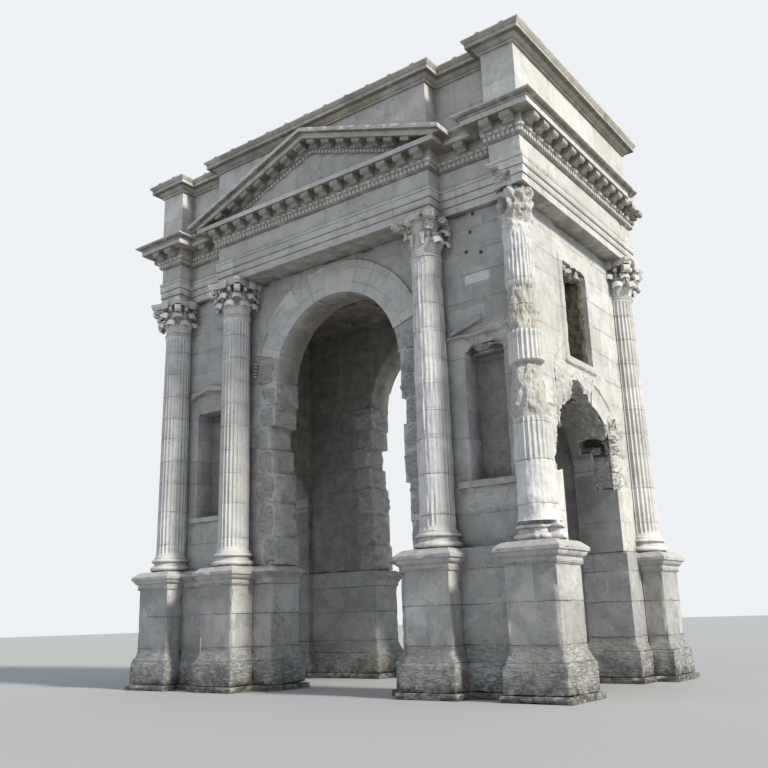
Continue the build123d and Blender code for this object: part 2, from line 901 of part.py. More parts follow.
# Two columns of the front right pier are ruined
lost_middle = block(
    (-leaf_width, abacus_half_side + past),
    (-abacus_half_side, abacus_half_side + past),
    (level_architrave - 2 * abacus_height, level_architrave + past),
)
kept_corner = block(
    (leaf_width, abacus_half_side), (leaf_width, abacus_half_side), (level_capital, level_top)
)
column_pieces["front_right", "inner"] = column_bases + smooth_shaft()
broken = capital(low_leaves=(0, 7), high_leaves=(0,), corners=(1,))
capital_pieces["front_right", "inner"] = broken - (lost_middle - kept_corner)
worn = worn_column()
room = (-2 * abacus_half_side, 2 * abacus_half_side)
column_pieces["front_right", "corner"] = worn & block(room, room, (0, level_capital))
capital_pieces["front_right", "corner"] = worn & block(room, room, (level_capital, level_top))

footings = []
damage = side_damage()
for name, (side, end) in CORNERS.items():
    footings.append(to_corner(footing_stone, side, end))
    base = foot - recess_cornice if name == "front_right" else foot
    save(f"pier_base_{name}", to_corner(base, side, end))
    pair = [to_corner(stone, side, end) for stone in pedestal_blocks.values()]
    save(f"pedestals_{name}", Compound(children=pair))
    body = to_corner(pier(side, gable_ends[name]), side, end)
    save(f"pier_{name}", body - damage if side > 0 else body)
    for spot, x in column_spots.items():
        place = Pos(x, corner_y)
        shaft = place * column_pieces[name, spot] - wall_behind
        top = place * capital_pieces[name, spot] - wall_behind
        save(f"column_{name}_{spot}", to_corner(shaft, side, end))
        save(f"capital_{name}_{spot}", to_corner(top, side, end))
save("footings", Compound(children=footings))

head = arch_head()
stand = Pos(0, arch_wall_y, level_main_spring) * Rot(0, 0, 180) * Rot(90, 0, 0)
lost = archivolt_lost_angle
ring = stand * archivolt(
    main_radius, main_archivolt_width, main_archivolt_projection, lost, 180 - lost
)
shaft_room = Cylinder(shaft_radius_low + clearance, 4 * main_radius)
for side in (-1, 1):
    ring = ring - Pos(side * inner_x, corner_y, level_main_spring) * shaft_room
gabled = pediment()
for name, end in (("front", -1), ("rear", 1)):
    save(f"arch_head_{name}", to_corner(head, 1, end))
    save(f"archivolt_{name}", to_corner(ring, 1, end))
    save(f"pediment_{name}", to_corner(gabled, 1, end))

short_head = side_head()
save("side_arch_head_left", to_corner(short_head, -1, 1))
save("side_arch_head_right", short_head - damage)
stand = Pos(wall_x, 0, level_side_spring) * Rot(0, 0, 90) * Rot(90, 0, 0)
size = (side_radius, side_archivolt_width, side_archivolt_projection)
left_ring = to_corner(stand * archivolt(*size, 0, 180), -1, 1)
right_ring = stand * archivolt(*size, *right_archivolt_kept)
save("side_archivolts", Compound(children=[left_ring, right_ring]))

save("ceiling", ceiling())
save("architrave", architrave())
save("frieze", frieze())
save("main_cornice", cornice() - cornice_break())
save("attic", attic())
save("attic_cornice", attic_cornice())
save("roof_covering", roof())
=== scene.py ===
import random
from math import atan2, ceil, cos, exp, hypot, pi, radians, remainder, sin, sqrt, tan

import bmesh
import bpy
from mathutils import Matrix, Vector, noise


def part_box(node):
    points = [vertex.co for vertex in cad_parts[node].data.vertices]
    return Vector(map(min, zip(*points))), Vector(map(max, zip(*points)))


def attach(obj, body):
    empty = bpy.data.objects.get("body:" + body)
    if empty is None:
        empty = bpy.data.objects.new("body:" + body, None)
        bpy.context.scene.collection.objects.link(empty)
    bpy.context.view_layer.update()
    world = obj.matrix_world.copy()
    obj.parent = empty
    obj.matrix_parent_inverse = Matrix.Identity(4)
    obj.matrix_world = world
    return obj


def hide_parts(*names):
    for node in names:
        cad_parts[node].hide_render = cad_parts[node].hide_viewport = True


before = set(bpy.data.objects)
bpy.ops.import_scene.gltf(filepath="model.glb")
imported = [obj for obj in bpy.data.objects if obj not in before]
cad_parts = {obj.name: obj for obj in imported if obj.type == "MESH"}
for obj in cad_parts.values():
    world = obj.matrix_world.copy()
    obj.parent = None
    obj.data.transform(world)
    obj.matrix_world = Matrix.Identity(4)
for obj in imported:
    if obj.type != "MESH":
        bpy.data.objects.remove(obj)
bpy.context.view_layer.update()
noise.seed_set(1)  # without it every run breaks the stones anew


# Pier bases, pedestals and footings
# The lowest courses are squared blocks of pale limestone laid dry on a stone step. Rain splash,
# soil and moss have darkened them, and their arrises are knocked and rounded.
COURSE_LEVELS = (
    0.12, 0.62, 0.9, 1.6, 2.22, 2.62, 3.24, 4.02, 4.7, 5.25, 5.8, 6.3, 6.87,
    7.45, 8.02, 8.5, 9.0, 9.35, 9.93, 10.32, 10.54, 10.93, 11.65, 12.36,
)
STREAK, LICHEN, PIT = (0.26, 0.25, 0.23, 1), (0.12, 0.115, 0.1, 1), (0.16, 0.145, 0.12, 1)
CRACK, JOINT_HALO, JOINT = (0.17, 0.16, 0.14, 1), (0.2, 0.185, 0.155, 1), (0.09, 0.082, 0.068, 1)
# The line colour on the next line is painted shade at the steps of mouldings, and a dark joint
# colour on jamb courses.
SOIL, MOSS, LINE_SHADE_AND_JOINT = (0.13, 0.12, 0.095, 1), (0.055, 0.056, 0.035, 1), (0.12, 0.11, 0.095, 1)
# On the next line: the first colour is painted shade in clamp holes, the second painted shade
# inside the passages, the third painted shade on faces that look along Y.
HOLE_SHADE, PASSAGE_SHADE, Y_FACE_SHADE = (0.012, 0.011, 0.01, 1), (0.165, 0.136, 0.1, 1), (0.27, 0.275, 0.285, 1)
# On the next line: both colours are painted shade, the first on faces that look down, the second in
# hollows.
UNDERSIDE_SHADE, HOLLOW_SHADE = (0.17, 0.145, 0.115, 1), (0.15, 0.135, 0.11, 1)
FRONT_FACE = -2.2
WHOLE_DRUM = 50.0


def node(tree, kind, inputs=None, **settings):
    """One node of a tree; each input is a plain value or another node's output."""
    made = tree.nodes.new(kind)
    for name, value in settings.items():
        setattr(made, name, value)
    for name, value in (inputs or {}).items():
        if isinstance(value, bpy.types.NodeSocket):
            tree.links.new(value, made.inputs[name])
        else:
            made.inputs[name].default_value = value
    return made


def calc(tree, operation, *values):
    """The result of one sum on numbers."""
    return node(tree, "ShaderNodeMath", dict(enumerate(values)), operation=operation).outputs[0]


def times(tree, *values):
    """Values multiplied together."""
    product, *others = values
    for value in others:
        product = calc(tree, "MULTIPLY", product, value)
    return product


def plus(tree, first, second):
    """The sum of two values."""
    return calc(tree, "ADD", first, second)


def minus(tree, first, second):
    """The first value less the second."""
    return calc(tree, "SUBTRACT", first, second)


def apart(tree, first, second=0.0):
    """How far two values lie from each other, or one from nought."""
    return calc(tree, "ABSOLUTE", minus(tree, first, second) if second else first)


def least(tree, first, second):
    """The smaller of two values."""
    return calc(tree, "MINIMUM", first, second)


def fade(tree, value, low, high, to_low=0.0, to_high=1.0):
    """A value taken smoothly from one range to another."""
    inputs = {"Value": value, 1: low, 2: high, 3: to_low, 4: to_high}
    return node(tree, "ShaderNodeMapRange", inputs, interpolation_type="SMOOTHSTEP").outputs[0]


def tint(tree, share, under, over):
    """Two colours laid over each other by a share."""
    return node(tree, "ShaderNodeMix", {0: share, 6: under, 7: over}, data_type="RGBA").outputs[2]


def stain(tree, colour, share, strength, tone):
    """A colour with a tone laid over it by a share, at a strength."""
    return tint(tree, times(tree, share, strength), colour, tone)


def swell(tree, height, share, amount):
    """A height raised by a share of an amount, or sunk where the amount is below nought."""
    return plus(tree, height, times(tree, share, amount))


def cloud(tree, place, scale, detail=6.0, rough=0.6, twist=0.0):
    """Cloudy variation of one size, from 0 to 1."""
    inputs = {"Vector": place, "Scale": scale, "Detail": detail, "Roughness": rough}
    return node(tree, "ShaderNodeTexNoise", inputs | {"Distortion": twist}).outputs["Fac"]


def vector_sum(tree, operation, first, second):
    """The result of one sum on vectors; SCALE takes a number as its second value."""
    inputs = {0: first, "Scale" if operation == "SCALE" else 1: second}
    return node(tree, "ShaderNodeVectorMath", inputs, operation=operation).outputs[0]


def split(tree, vector):
    """The three parts of a vector."""
    return node(tree, "ShaderNodeSeparateXYZ", {0: vector}).outputs


def stretched(tree, place, scale):
    """A place scaled apart along each axis, which draws a pattern out."""
    return node(tree, "ShaderNodeMapping", {"Vector": place, "Scale": scale}).outputs[0]


def face_direction(tree):
    """The three parts of the direction that a flat face looks in."""
    return split(tree, node(tree, "ShaderNodeNewGeometry").outputs["True Normal"])


def nearer_joint(tree, stretch, length):
    """Which block a stretch counted in blocks has reached, and how far off its nearer joint is."""
    index = calc(tree, "FLOOR", stretch)
    share = minus(tree, stretch, index)
    return index, times(tree, least(tree, share, minus(tree, 1.0, share)), length)


def masonry_courses(tree, place, block_length, ring=None, rows=0.0):
    """Joints between the blocks, and a number of each block, from the real course levels. A ring
    (centre height, stones, radii of grooves) has radial joints instead; rows is the depth of
    slabs seen from above."""
    parts = split(tree, place)
    end_wall = calc(tree, "GREATER_THAN", apart(tree, face_direction(tree)[0]), 0.7)
    along = node(tree, "ShaderNodeMix", {0: end_wall, 2: parts[0], 3: parts[1]}).outputs[0]
    course, away = 0.0, 1.0
    for level in COURSE_LEVELS:
        course = plus(tree, course, calc(tree, "GREATER_THAN", parts[2], level))
        away = least(tree, away, apart(tree, parts[2], level))
    if ring:
        centre_height, stones, *radii = ring
        rise = minus(tree, parts[2], centre_height)
        stretch = times(tree, calc(tree, "ARCTAN2", rise, along), stones / pi)
        squares = [calc(tree, "POWER", part, 2.0) for part in (rise, apart(tree, along))]
        reach = calc(tree, "SQRT", plus(tree, *squares))
        length = times(tree, reach, pi / stones)
        away = 1.0
        for radius in radii:
            away = least(tree, away, apart(tree, reach, radius))
    else:
        shift = node(tree, "ShaderNodeTexWhiteNoise", {"W": course}, noise_dimensions="1D")
        wave = plus(tree, times(tree, along, 2.3), times(tree, course, 2.1))
        stretch = calc(tree, "DIVIDE", along, block_length)
        stretch = swell(tree, stretch, shift.outputs["Value"], 5.7)
        stretch = swell(tree, stretch, calc(tree, "SINE", wave), 0.2)
        length = block_length
    index, side = nearer_joint(tree, stretch, length)
    away = least(tree, away, side)
    if rows:
        row = calc(tree, "DIVIDE", plus(tree, parts[1], 20.0), rows)
        end_wall, side = nearer_joint(tree, row, rows)
        away = least(tree, away, side)
    label = node(tree, "ShaderNodeCombineXYZ", {0: index, 1: course, 2: end_wall}).outputs[0]
    number = node(tree, "ShaderNodeTexWhiteNoise", {"Vector": label}, noise_dimensions="3D")
    return away, number.outputs["Value"]


def stone_tones(tree, place, tones, clouding, scabs):
    """Bare stone: its tones, crust, scabs, streaks, lichen and pits. Gives the colour, the height,
    and the broad, middle and fine clouds that the later layers share."""
    pale, warm, grey, light = tones
    broad = cloud(tree, place, 0.55, 4.0, 0.6, 0.7)
    mottle = cloud(tree, place, 3.4, 9.0, 0.68, 0.3)
    fine = cloud(tree, place, 21.0, 8.0, 0.7)
    grain = cloud(tree, place, 130.0, 3.0, 0.6)
    colour = tint(tree, fade(tree, broad, 0.38, 0.62), pale, warm)
    colour = tint(tree, fade(tree, mottle, 0.44, 0.66, 0.0, clouding), colour, grey)
    colour = tint(tree, fade(tree, fine, 0.5, 0.72, 0.0, 0.35), colour, grey)
    crust = fade(tree, cloud(tree, place, 1.7, 8.0, 0.7, 1.2), 0.55, 0.63)
    colour = stain(tree, colour, times(tree, crust, fade(tree, fine, 0.35, 0.6)), 0.55, light)
    scab = cloud(tree, place, 2.1, 12.0, 0.66)
    scab_inside = fade(tree, scab, 0.5, 0.53)
    scab_rim = fade(tree, apart(tree, scab, 0.5), 0.0, 0.014, 0.8, 0.0)
    colour = stain(tree, colour, scab_inside, scabs, grey)
    colour = stain(tree, colour, scab_rim, scabs, light)

    tall = stretched(tree, place, (2.6, 2.6, 0.22))
    streak = fade(tree, cloud(tree, tall, 1.5, 8.0, 0.65, 0.4), 0.5, 0.7)
    colour = stain(tree, colour, times(tree, streak, fade(tree, mottle, 0.3, 0.6)), 0.3, STREAK)
    lichen = fade(tree, cloud(tree, place, 0.9, 3.0), 0.52, 0.66)
    spots = fade(tree, cloud(tree, place, 11.0, 10.0, 0.75), 0.53, 0.62)
    colour = stain(tree, colour, times(tree, lichen, spots), 0.6, LICHEN)
    pits = fade(tree, cloud(tree, place, 55.0, 4.0, 0.7), 0.62, 0.7)
    colour = stain(tree, colour, pits, 0.5, PIT)

    height = times(tree, mottle, 0.9)
    for share, amount in ((fine, 0.35), (grain, 0.05), (pits, -0.22), (scab_inside, -0.5 * scabs)):
        height = swell(tree, height, share, amount)
    return colour, height, broad, mottle, fine


def quarry_layers(tree, place, colour, height, strata):
    """The layers of a quarry face, with dark cracks between them."""
    flat = stretched(tree, place, (2.2, 2.2, 9.0))
    layer = cloud(tree, flat, 2.4, 10.0, 0.72, 0.3)
    crack = fade(tree, layer, 0.4, 0.47, 1.0, 0.0)
    return stain(tree, colour, crack, 0.7 * strata, CRACK), swell(tree, height, layer, 3.0 * strata)


def block_joints(tree, place, mottle, colour, height, courses, joint_depth):
    """Dark joints, a stained halo along them, and a tone and a set-back for each block."""
    away, number = courses
    joint = fade(tree, away, 0.002, 0.011, 1.0, 0.0)
    joint = times(tree, joint, fade(tree, cloud(tree, place, 1.3, 4.0), 0.42, 0.6, 0.1, 0.9))
    halo = times(tree, fade(tree, away, 0.0, 0.07, 0.18, 0.0), fade(tree, mottle, 0.4, 0.7))
    colour = vector_sum(tree, "SCALE", colour, fade(tree, number, 0.0, 1.0, 0.88, 1.08))
    colour = stain(tree, tint(tree, halo, colour, JOINT_HALO), joint, joint_depth, JOINT)
    return colour, swell(tree, swell(tree, height, joint, -1.1), number, 0.5)


def ground_stains(tree, place, wavy, colour, height, light, grime_top):
    """Soil, flaking skin and moss, each up to its own level."""
    level = split(tree, place)[2]
    soil = fade(tree, cloud(tree, place, 2.4, 9.0, 0.72), 0.4, 0.58)
    soil = times(tree, fade(tree, level, 0.0, grime_top, 1.0, 0.0), soil)
    colour = stain(tree, colour, soil, 0.75, SOIL)
    flat = stretched(tree, wavy, (2.2, 2.2, 11.0))
    flake = fade(tree, cloud(tree, flat, 1.8, 10.0, 0.7), 0.5, 0.56)
    flake = times(tree, flake, fade(tree, level, 0.45, 1.2, 1.0, 0.0))
    colour = stain(tree, colour, flake, 0.4, light)
    moss = fade(tree, cloud(tree, place, 6.5, 9.0, 0.7), 0.44, 0.56)
    moss = times(tree, fade(tree, level, 0.05, 0.42, 1.0, 0.0), moss)
    return stain(tree, colour, moss, 0.8, MOSS), swell(tree, height, flake, 0.5)


def clamp_hole(tree, parts, x, z):
    """One of the square clamp holes at one place on the front, from 0 outside to 1 inside; the
    stone in it is painted nearly black as painted shade.
    """
    gap = calc(tree, "MAXIMUM", apart(tree, parts[0], x), apart(tree, parts[2], z))
    front = calc(tree, "LESS_THAN", parts[1], FRONT_FACE)
    return times(tree, fade(tree, gap, 0.028, 0.045, 1.0, 0.0), front)


def stone_finish(name, pale, warm, grey, block_length=None, ring=None, drums=False, rows=0.0,
                 lines=(), holes=(), joint_depth=0.5, grime_top=0.0, hollow_shade=0.7, roughness=0.9,
                 relief=0.5, clouding=0.45, scabs=0.3, shade_passages=False, y_face_shade=0.0,
                 strata=0.0, underside_shade=0.55):
    """Weathered limestone. Blocks, a ring, drums or rows of slabs set its joints, lines are levels
    of thin dark lines (painted shade at the steps of mouldings, dark joints on jamb courses), and
    holes are (x, z) on the front, painted nearly black as painted shade. Soil and moss reach up
    to grime_top, and strata is a quarry face. Painted shade darkens the stone inside the passages,
    the faces that look along Y, the faces that look down, and the hollows, each by its own
    strength."""
    made = bpy.data.materials.new(name)
    made.use_nodes = True
    tree = made.node_tree
    shader = tree.nodes["Principled BSDF"]
    shader.inputs["Roughness"].default_value = roughness
    shader.inputs["Specular IOR Level"].default_value = 0.25
    place = node(tree, "ShaderNodeTexCoord").outputs["Object"]
    bent = node(tree, "ShaderNodeTexNoise", {"Vector": place, "Scale": 3.0, "Detail": 3.0})
    bent = vector_sum(tree, "SUBTRACT", bent.outputs["Color"], (0.5, 0.5, 0.5))
    wavy = vector_sum(tree, "ADD", place, vector_sum(tree, "SCALE", bent, 0.045))
    light = tuple(min(1.0, 1.16 * part) for part in pale[:3]) + (1.0,)

    tones = (pale, warm, grey, light)
    colour, height, broad, mottle, fine = stone_tones(tree, place, tones, clouding, scabs)
    if strata:
        colour, height = quarry_layers(tree, wavy, colour, height, strata)
    if block_length or ring or drums:
        courses = masonry_courses(tree, wavy, block_length or WHOLE_DRUM, ring, rows)
        colour, height = block_joints(tree, place, mottle, colour, height, courses, joint_depth)
    if grime_top:
        colour, height = ground_stains(tree, place, wavy, colour, height, light, grime_top)
    parts = split(tree, place)
    line_level = split(tree, wavy)[2] if strata else parts[2]
    line_width = 0.03 if strata else 0.012
    # Thin dark lines at the given levels: painted shade under the steps of mouldings, and dark
    # joints where the levels are jamb courses.
    for level in lines:
        gap = apart(tree, line_level, level)
        line_shade = fade(tree, gap, line_width / 4, line_width, 1.0, 0.0)
        line_shade = times(tree, line_shade, fade(tree, mottle, 0.3, 0.55, 0.4, 0.9))
        colour = tint(tree, line_shade, colour, LINE_SHADE_AND_JOINT)
    # Clamp holes painted nearly black: painted shade in the holes, with a small sunk bump.
    for x, z in holes:
        hole_shade = clamp_hole(tree, parts, x, z)
        colour, height = tint(tree, hole_shade, colour, HOLE_SHADE), swell(tree, height, hole_shade, -3.0)
    # Painted shade: the stone inside the passages is darkened towards a brown shade colour.
    if shade_passages:
        across = fade(tree, apart(tree, parts[1]), 1.7, 2.25, 1.0, 0.0)
        along = fade(tree, apart(tree, parts[0]), 3.9, 4.75, 1.0, 0.0)
        inside_shade = times(tree, across, along, fade(tree, mottle, 0.3, 0.7, 0.5, 0.82))
        colour = tint(tree, inside_shade, colour, PASSAGE_SHADE)

    facing = face_direction(tree)
    # Painted shade: faces that look along Y, front and back, are greyed in patches, so that faces
    # looking along X stay brighter.
    if y_face_shade:
        across = fade(tree, apart(tree, facing[1]), 0.15, 0.6, 0.0, y_face_shade)
        patchy = fade(tree, broad, 0.3, 0.6, 0.6, 1.0)
        colour = tint(tree, times(tree, across, patchy), colour, Y_FACE_SHADE)
    # Painted shade: faces that look down are darkened in patches.
    facing_down_shade = fade(tree, facing[2], -0.95, -0.35, underside_shade, 0.0)
    patchy = fade(tree, mottle, 0.3, 0.6, 0.5, 1.0)
    colour = tint(tree, times(tree, facing_down_shade, patchy), colour, UNDERSIDE_SHADE)
    # Painted shade: hollows, found by ambient occlusion, are darkened in patches.
    hollow = node(tree, "ShaderNodeAmbientOcclusion", {"Distance": 0.4}, samples=6).outputs["AO"]
    patchy = fade(tree, mottle, 0.25, 0.65, 0.4, 1.0)
    shade = times(tree, fade(tree, hollow, 0.2, 0.85, 1.0, 0.0), patchy)
    colour = stain(tree, colour, shade, hollow_shade, HOLLOW_SHADE)
    edge = node(tree, "ShaderNodeAmbientOcclusion", {"Distance": 0.05}, samples=4, inside=True)
    edge = fade(tree, edge.outputs["AO"], 0.45, 0.8, 1.0, 0.0)
    colour = stain(tree, colour, times(tree, edge, fade(tree, fine, 0.3, 0.55)), 0.35, light)
    tree.links.new(colour, shader.inputs["Base Color"])
    bump = node(tree, "ShaderNodeBump", {"Height": height, "Strength": relief, "Distance": 0.03})
    tree.links.new(bump.outputs[0], shader.inputs["Normal"])
    return made


def cut_net(bm, low, high, spacing):
    """Cuts the faces inside a box at even levels along the three axes."""
    faces = []
    for face in bm.faces:
        centre = face.calc_center_bounds()
        if all(low[axis] - 0.01 <= centre[axis] <= high[axis] + 0.01 for axis in range(3)):
            faces.append(face)
    parts = faces + list({edge for face in faces for edge in face.edges})
    parts += list({vert for face in faces for vert in face.verts})
    for axis in range(3):
        count = ceil((high[axis] - low[axis]) / spacing)
        step = (high[axis] - low[axis]) / count
        normal = Vector([float(index == axis) for index in range(3)])
        for index in range(1, count):
            at = normal * (low[axis] + index * step)
            cut = bmesh.ops.bisect_plane(bm, geom=parts, dist=0.0002, plane_co=at, plane_no=normal)
            parts = cut["geom"]


def weathering(vert, place, chip, dent):
    """How far one point of a stone is worn in: chips on an arris, shallow dents on a face."""
    faces = []
    for face in vert.link_faces:
        if all(face.normal.dot(other) < 0.9 for other in faces):
            faces.append(face.normal.copy())
    inward = -sum(faces, Vector())
    edges = vert.link_edges
    if len(faces) > 1 and any(edge.is_convex and edge.calc_face_angle(0) > 0.5 for edge in edges):
        bite = 0.5 + 0.5 * noise.noise(place * 2.3)
        nick = max(0.0, noise.noise(place * 7.0) + 0.35 * noise.noise(place * 17.0))
        return inward.normalized() * chip * (0.12 + 0.5 * bite * bite + 1.3 * nick * bite)
    if len(faces) == 1:
        return inward * dent * max(0.0, 0.5 + noise.noise(place * 3.1))
    return Vector()


def worn_stone(cad_name, finish, slot, spacing, chip, dent=0.004, seed=0, breaks=(), seams=()):
    """A copy of a CAD piece cut into a fine net, its arrises chipped and its faces a little dented.
    It stands for that CAD piece. A break (low corner, high corner, push, roughness) is a ruined
    stretch, cut finer and broken back; a seam (axis, distance) joins another piece and is left."""
    bm = bmesh.new()
    bm.from_mesh(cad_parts[cad_name].data)
    bmesh.ops.remove_doubles(bm, verts=bm.verts, dist=0.0004)
    bmesh.ops.dissolve_limit(bm, angle_limit=radians(0.5), verts=bm.verts, edges=bm.edges)
    cut_net(bm, *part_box(cad_name), spacing)
    for low, high, _, _ in breaks:
        cut_net(bm, low, high, 0.04)
    bm.normal_update()
    moves = []
    for vert in bm.verts:
        place = vert.co + Vector((seed * 3.7, 0, 0))
        seam = any(abs(abs(vert.co[axis]) - at) < 0.002 for axis, at in seams)
        move = Vector() if seam else weathering(vert, place, chip, dent)
        for low, high, push, rough in breaks:
            inside = min(min(vert.co[i] - low[i], high[i] - vert.co[i]) for i in range(3))
            if inside > 0:
                share = min(1.0, inside / 0.1)
                spread = noise.noise_vector(place * 5.0) + 0.6 * noise.noise_vector(place * 12.0)
                move += share * (Vector(push) * (0.7 + noise.noise(place * 3.0)) + rough * spread)
        moves.append(move)
    low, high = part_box(cad_name)
    for vert, move in zip(bm.verts, moves):
        worn = zip(vert.co + move, low, high)
        vert.co = [min(max(part, lowest), highest) for part, lowest, highest in worn]
    return set_piece(bm, "worn_" + cad_name, finish, slot, cad_name)


def set_piece(bm, name, finish, slot, *cad_names, loose=False):
    """Makes a mesh of what was built up and sets it as a piece of the arch. Loose blocks have
    their faces turned outwards first."""
    if loose:
        bmesh.ops.recalc_face_normals(bm, faces=bm.faces)
    mesh = bpy.data.meshes.new(name)
    bm.to_mesh(mesh)
    bm.free()
    return stand_for(mesh, finish, slot, *cad_names)


def stand_for(mesh, finish, slot, *cad_names):
    """Finishes a mesh as a piece of the arch that is shown in place of CAD pieces."""
    mesh.materials.clear()
    mesh.materials.append(finish)
    mesh.shade_smooth()
    mesh.set_sharp_from_angle(angle=radians(38))
    piece = bpy.data.objects.new(mesh.name, mesh)
    bpy.context.scene.collection.objects.link(piece)
    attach(piece, "root")
    if cad_names:
        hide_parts(*cad_names)
    return piece


CORNERS = ("front_left", "front_right", "rear_left", "rear_right")
base_finish = stone_finish(
    "stained_base_stone", (0.57, 0.565, 0.555, 1), (0.51, 0.49, 0.445, 1), (0.36, 0.36, 0.36, 1),
    block_length=6.0, grime_top=1.3, relief=1.0, clouding=0.5, scabs=0.36, y_face_shade=0.12,
)
LOW_STONE = base_finish, "stained_limestone"
for seed, corner in enumerate(CORNERS):
    worn_stone("pier_base_" + corner, *LOW_STONE, 0.085, 0.045, 0.012, seed)
    worn_stone("pedestals_" + corner, *LOW_STONE, 0.075, 0.05, 0.014, seed + 5)
worn_stone("footings", *LOW_STONE, 0.1, 0.05, 0.012, 11)


# Piers and arch walls
# Ashlar of the same limestone, about a hand's breadth off true in places: the arrises of the
# passages are broken, some blocks are patched, and the joints are open and dark.
wall_finish = stone_finish(
    "weathered_wall_stone", (0.69, 0.68, 0.655, 1), (0.62, 0.59, 0.53, 1), (0.43, 0.43, 0.425, 1),
    block_length=1.9, relief=0.6, shade_passages=True, y_face_shade=0.32,
    holes=((3.71, 8.91), (3.59, 8.51), (3.93, 8.41), (3.79, 9.3)),
)
SEAMS = ((0, 2.76), (1, 1.33), (2, 4.275), (2, 6.8))
BREAKS = {
    "pier_front_right": (
        ((3.36, -2.4, 6.24), (4.2, -2.0, 6.72), (0.02, 0.2, 0.17), 0.08),
        ((4.1, -2.4, 6.3), (4.42, -2.1, 6.52), (0, 0.06, 0.03), 0.04),
        ((3.1, -2.4, 3.55), (4.5, -2.15, 3.95), (0, 0.02, 0), 0.03),
        ((4.2, -2.0, 3.9), (4.95, -1.2, 5.6), (0, 0, 0), 0.05),
    ),
    "pier_rear_right": (((4.2, 1.25, 3.9), (4.95, 2.0, 5.6), (0, 0, 0), 0.07),),
    "side_arch_head_right": (
        ((4.2, -1.6, 4.2), (4.95, 0.6, 6.2), (0, 0, 0), 0.06),
        ((4.2, 0.6, 4.7), (4.95, 1.7, 5.6), (0, 0, 0), 0.07),
        ((4.2, -0.65, 8.4), (4.95, 0.65, 8.72), (0, 0, 0.02), 0.06),
    ),
}
PIERS = ["pier_" + corner for corner in CORNERS]
ARCH_HEADS = ["arch_head_front", "arch_head_rear", "side_arch_head_left", "side_arch_head_right"]
for names, chip, dent, first_seed in ((PIERS, 0.05, 0.012, 20), (ARCH_HEADS, 0.045, 0.01, 30)):
    for seed, name in enumerate(names, first_seed):
        breaks = BREAKS.get(name, ())
        worn_stone(name, wall_finish, "limestone", 0.09, chip, dent, seed, breaks, SEAMS)

RING_TONES = (0.66, 0.65, 0.625, 1), (0.59, 0.56, 0.51, 1), (0.43, 0.425, 0.415, 1)
arch_finish = stone_finish(
    "arch_ring_stone", *RING_TONES, ring=(6.8, 15.0, 1.98, 2.33), relief=0.55,
)
side_arch_finish = stone_finish(
    "side_ring_stone", *RING_TONES, ring=(4.275, 11.0, 1.5, 1.57, 1.64, 1.71, 1.78), relief=0.55,
)
worn_stone("archivolt_front", arch_finish, "limestone", 0.07, 0.02, 0.006, 41)
worn_stone("archivolt_rear", arch_finish, "limestone", 0.07, 0.02, 0.006, 42)
worn_stone("side_archivolts", side_arch_finish, "limestone", 0.07, 0.02, 0.006, 43)


# Columns
# Each shaft is drums of pale limestone with twenty-four flutes, on a base of two rolls and a
# hollow. Six are whole, one has lost its flutes, and the near right one is an eroded stump.
AXIS_X = {"inner": 2.76, "corner": 4.87}
AXIS_Y = 2.51
FOOT, SHAFT_LOW, SHAFT_HIGH, CAPITAL_HIGH = 2.62, 2.95, 8.45, 9.35
RADIUS_LOW, RADIUS_HIGH = 0.35, 0.312
FLUTES, FLUTE_DEPTH, FLUTE_POINTS = 24, 0.032, 8
FLUTE_MARGIN, FLUTE_END = 0.07, 0.06
DRUM_JOINTS = (3.25, 4.01, 4.75, 5.29, 5.85, 6.34, 6.93, 7.46, 8.04)


def whole_shaft(angle, level):
    """No wear: radius change 0 and flutes at full depth."""
    return 0.0, 1.0


def worn_smooth_shaft(angle, level):
    """Flutes worn off but for faint runs, and a battered skin."""
    spot = Vector((cos(angle) * 1.4, sin(angle) * 1.4, level * 0.9))
    left = within_unit(4.0 * noise.noise(spot + Vector((3, 1, 0))) + 0.25)
    skin = 0.011 * noise.noise(spot * 5.0) + 0.006 * noise.noise(spot * 14.0)
    return -0.012 * (1 - left) + skin, 0.22 + 0.6 * left


EROSION = (
    (2.95, 0.022, 0.0), (3.2, 0.018, 0.1), (3.9, 0.008, 0.15), (3.97, 0.004, 0.3),
    (4.05, 0.0, 0.8), (4.72, 0.0, 0.85), (4.82, -0.01, 0.1), (5.0, 0.015, 0.0),
    (5.5, -0.02, 0.0), (5.8, -0.05, 0.0), (5.86, 0.0, 1.0), (6.43, 0.0, 1.0),
    (6.47, -0.04, 0.0), (6.9, -0.03, 0.0), (7.28, -0.055, 0.1), (7.4, -0.02, 0.75),
    (8.3, -0.03, 0.7), (8.5, -0.01, 0.2), (8.7, 0.0, 0.0), (8.95, 0.02, 0.0),
    (9.2, 0.02, 0.0), (9.35, -0.05, 0.0),
)
SOCKET_TURN, SOCKET_LEVEL, SOCKET_RADIUS = radians(-118), 8.97, 0.17
CHISELLED_TOP, RUINED_LOW = 4.1, 8.5


def within_unit(value):
    """A number held between 0 and 1."""
    return max(0.0, min(1.0, value))


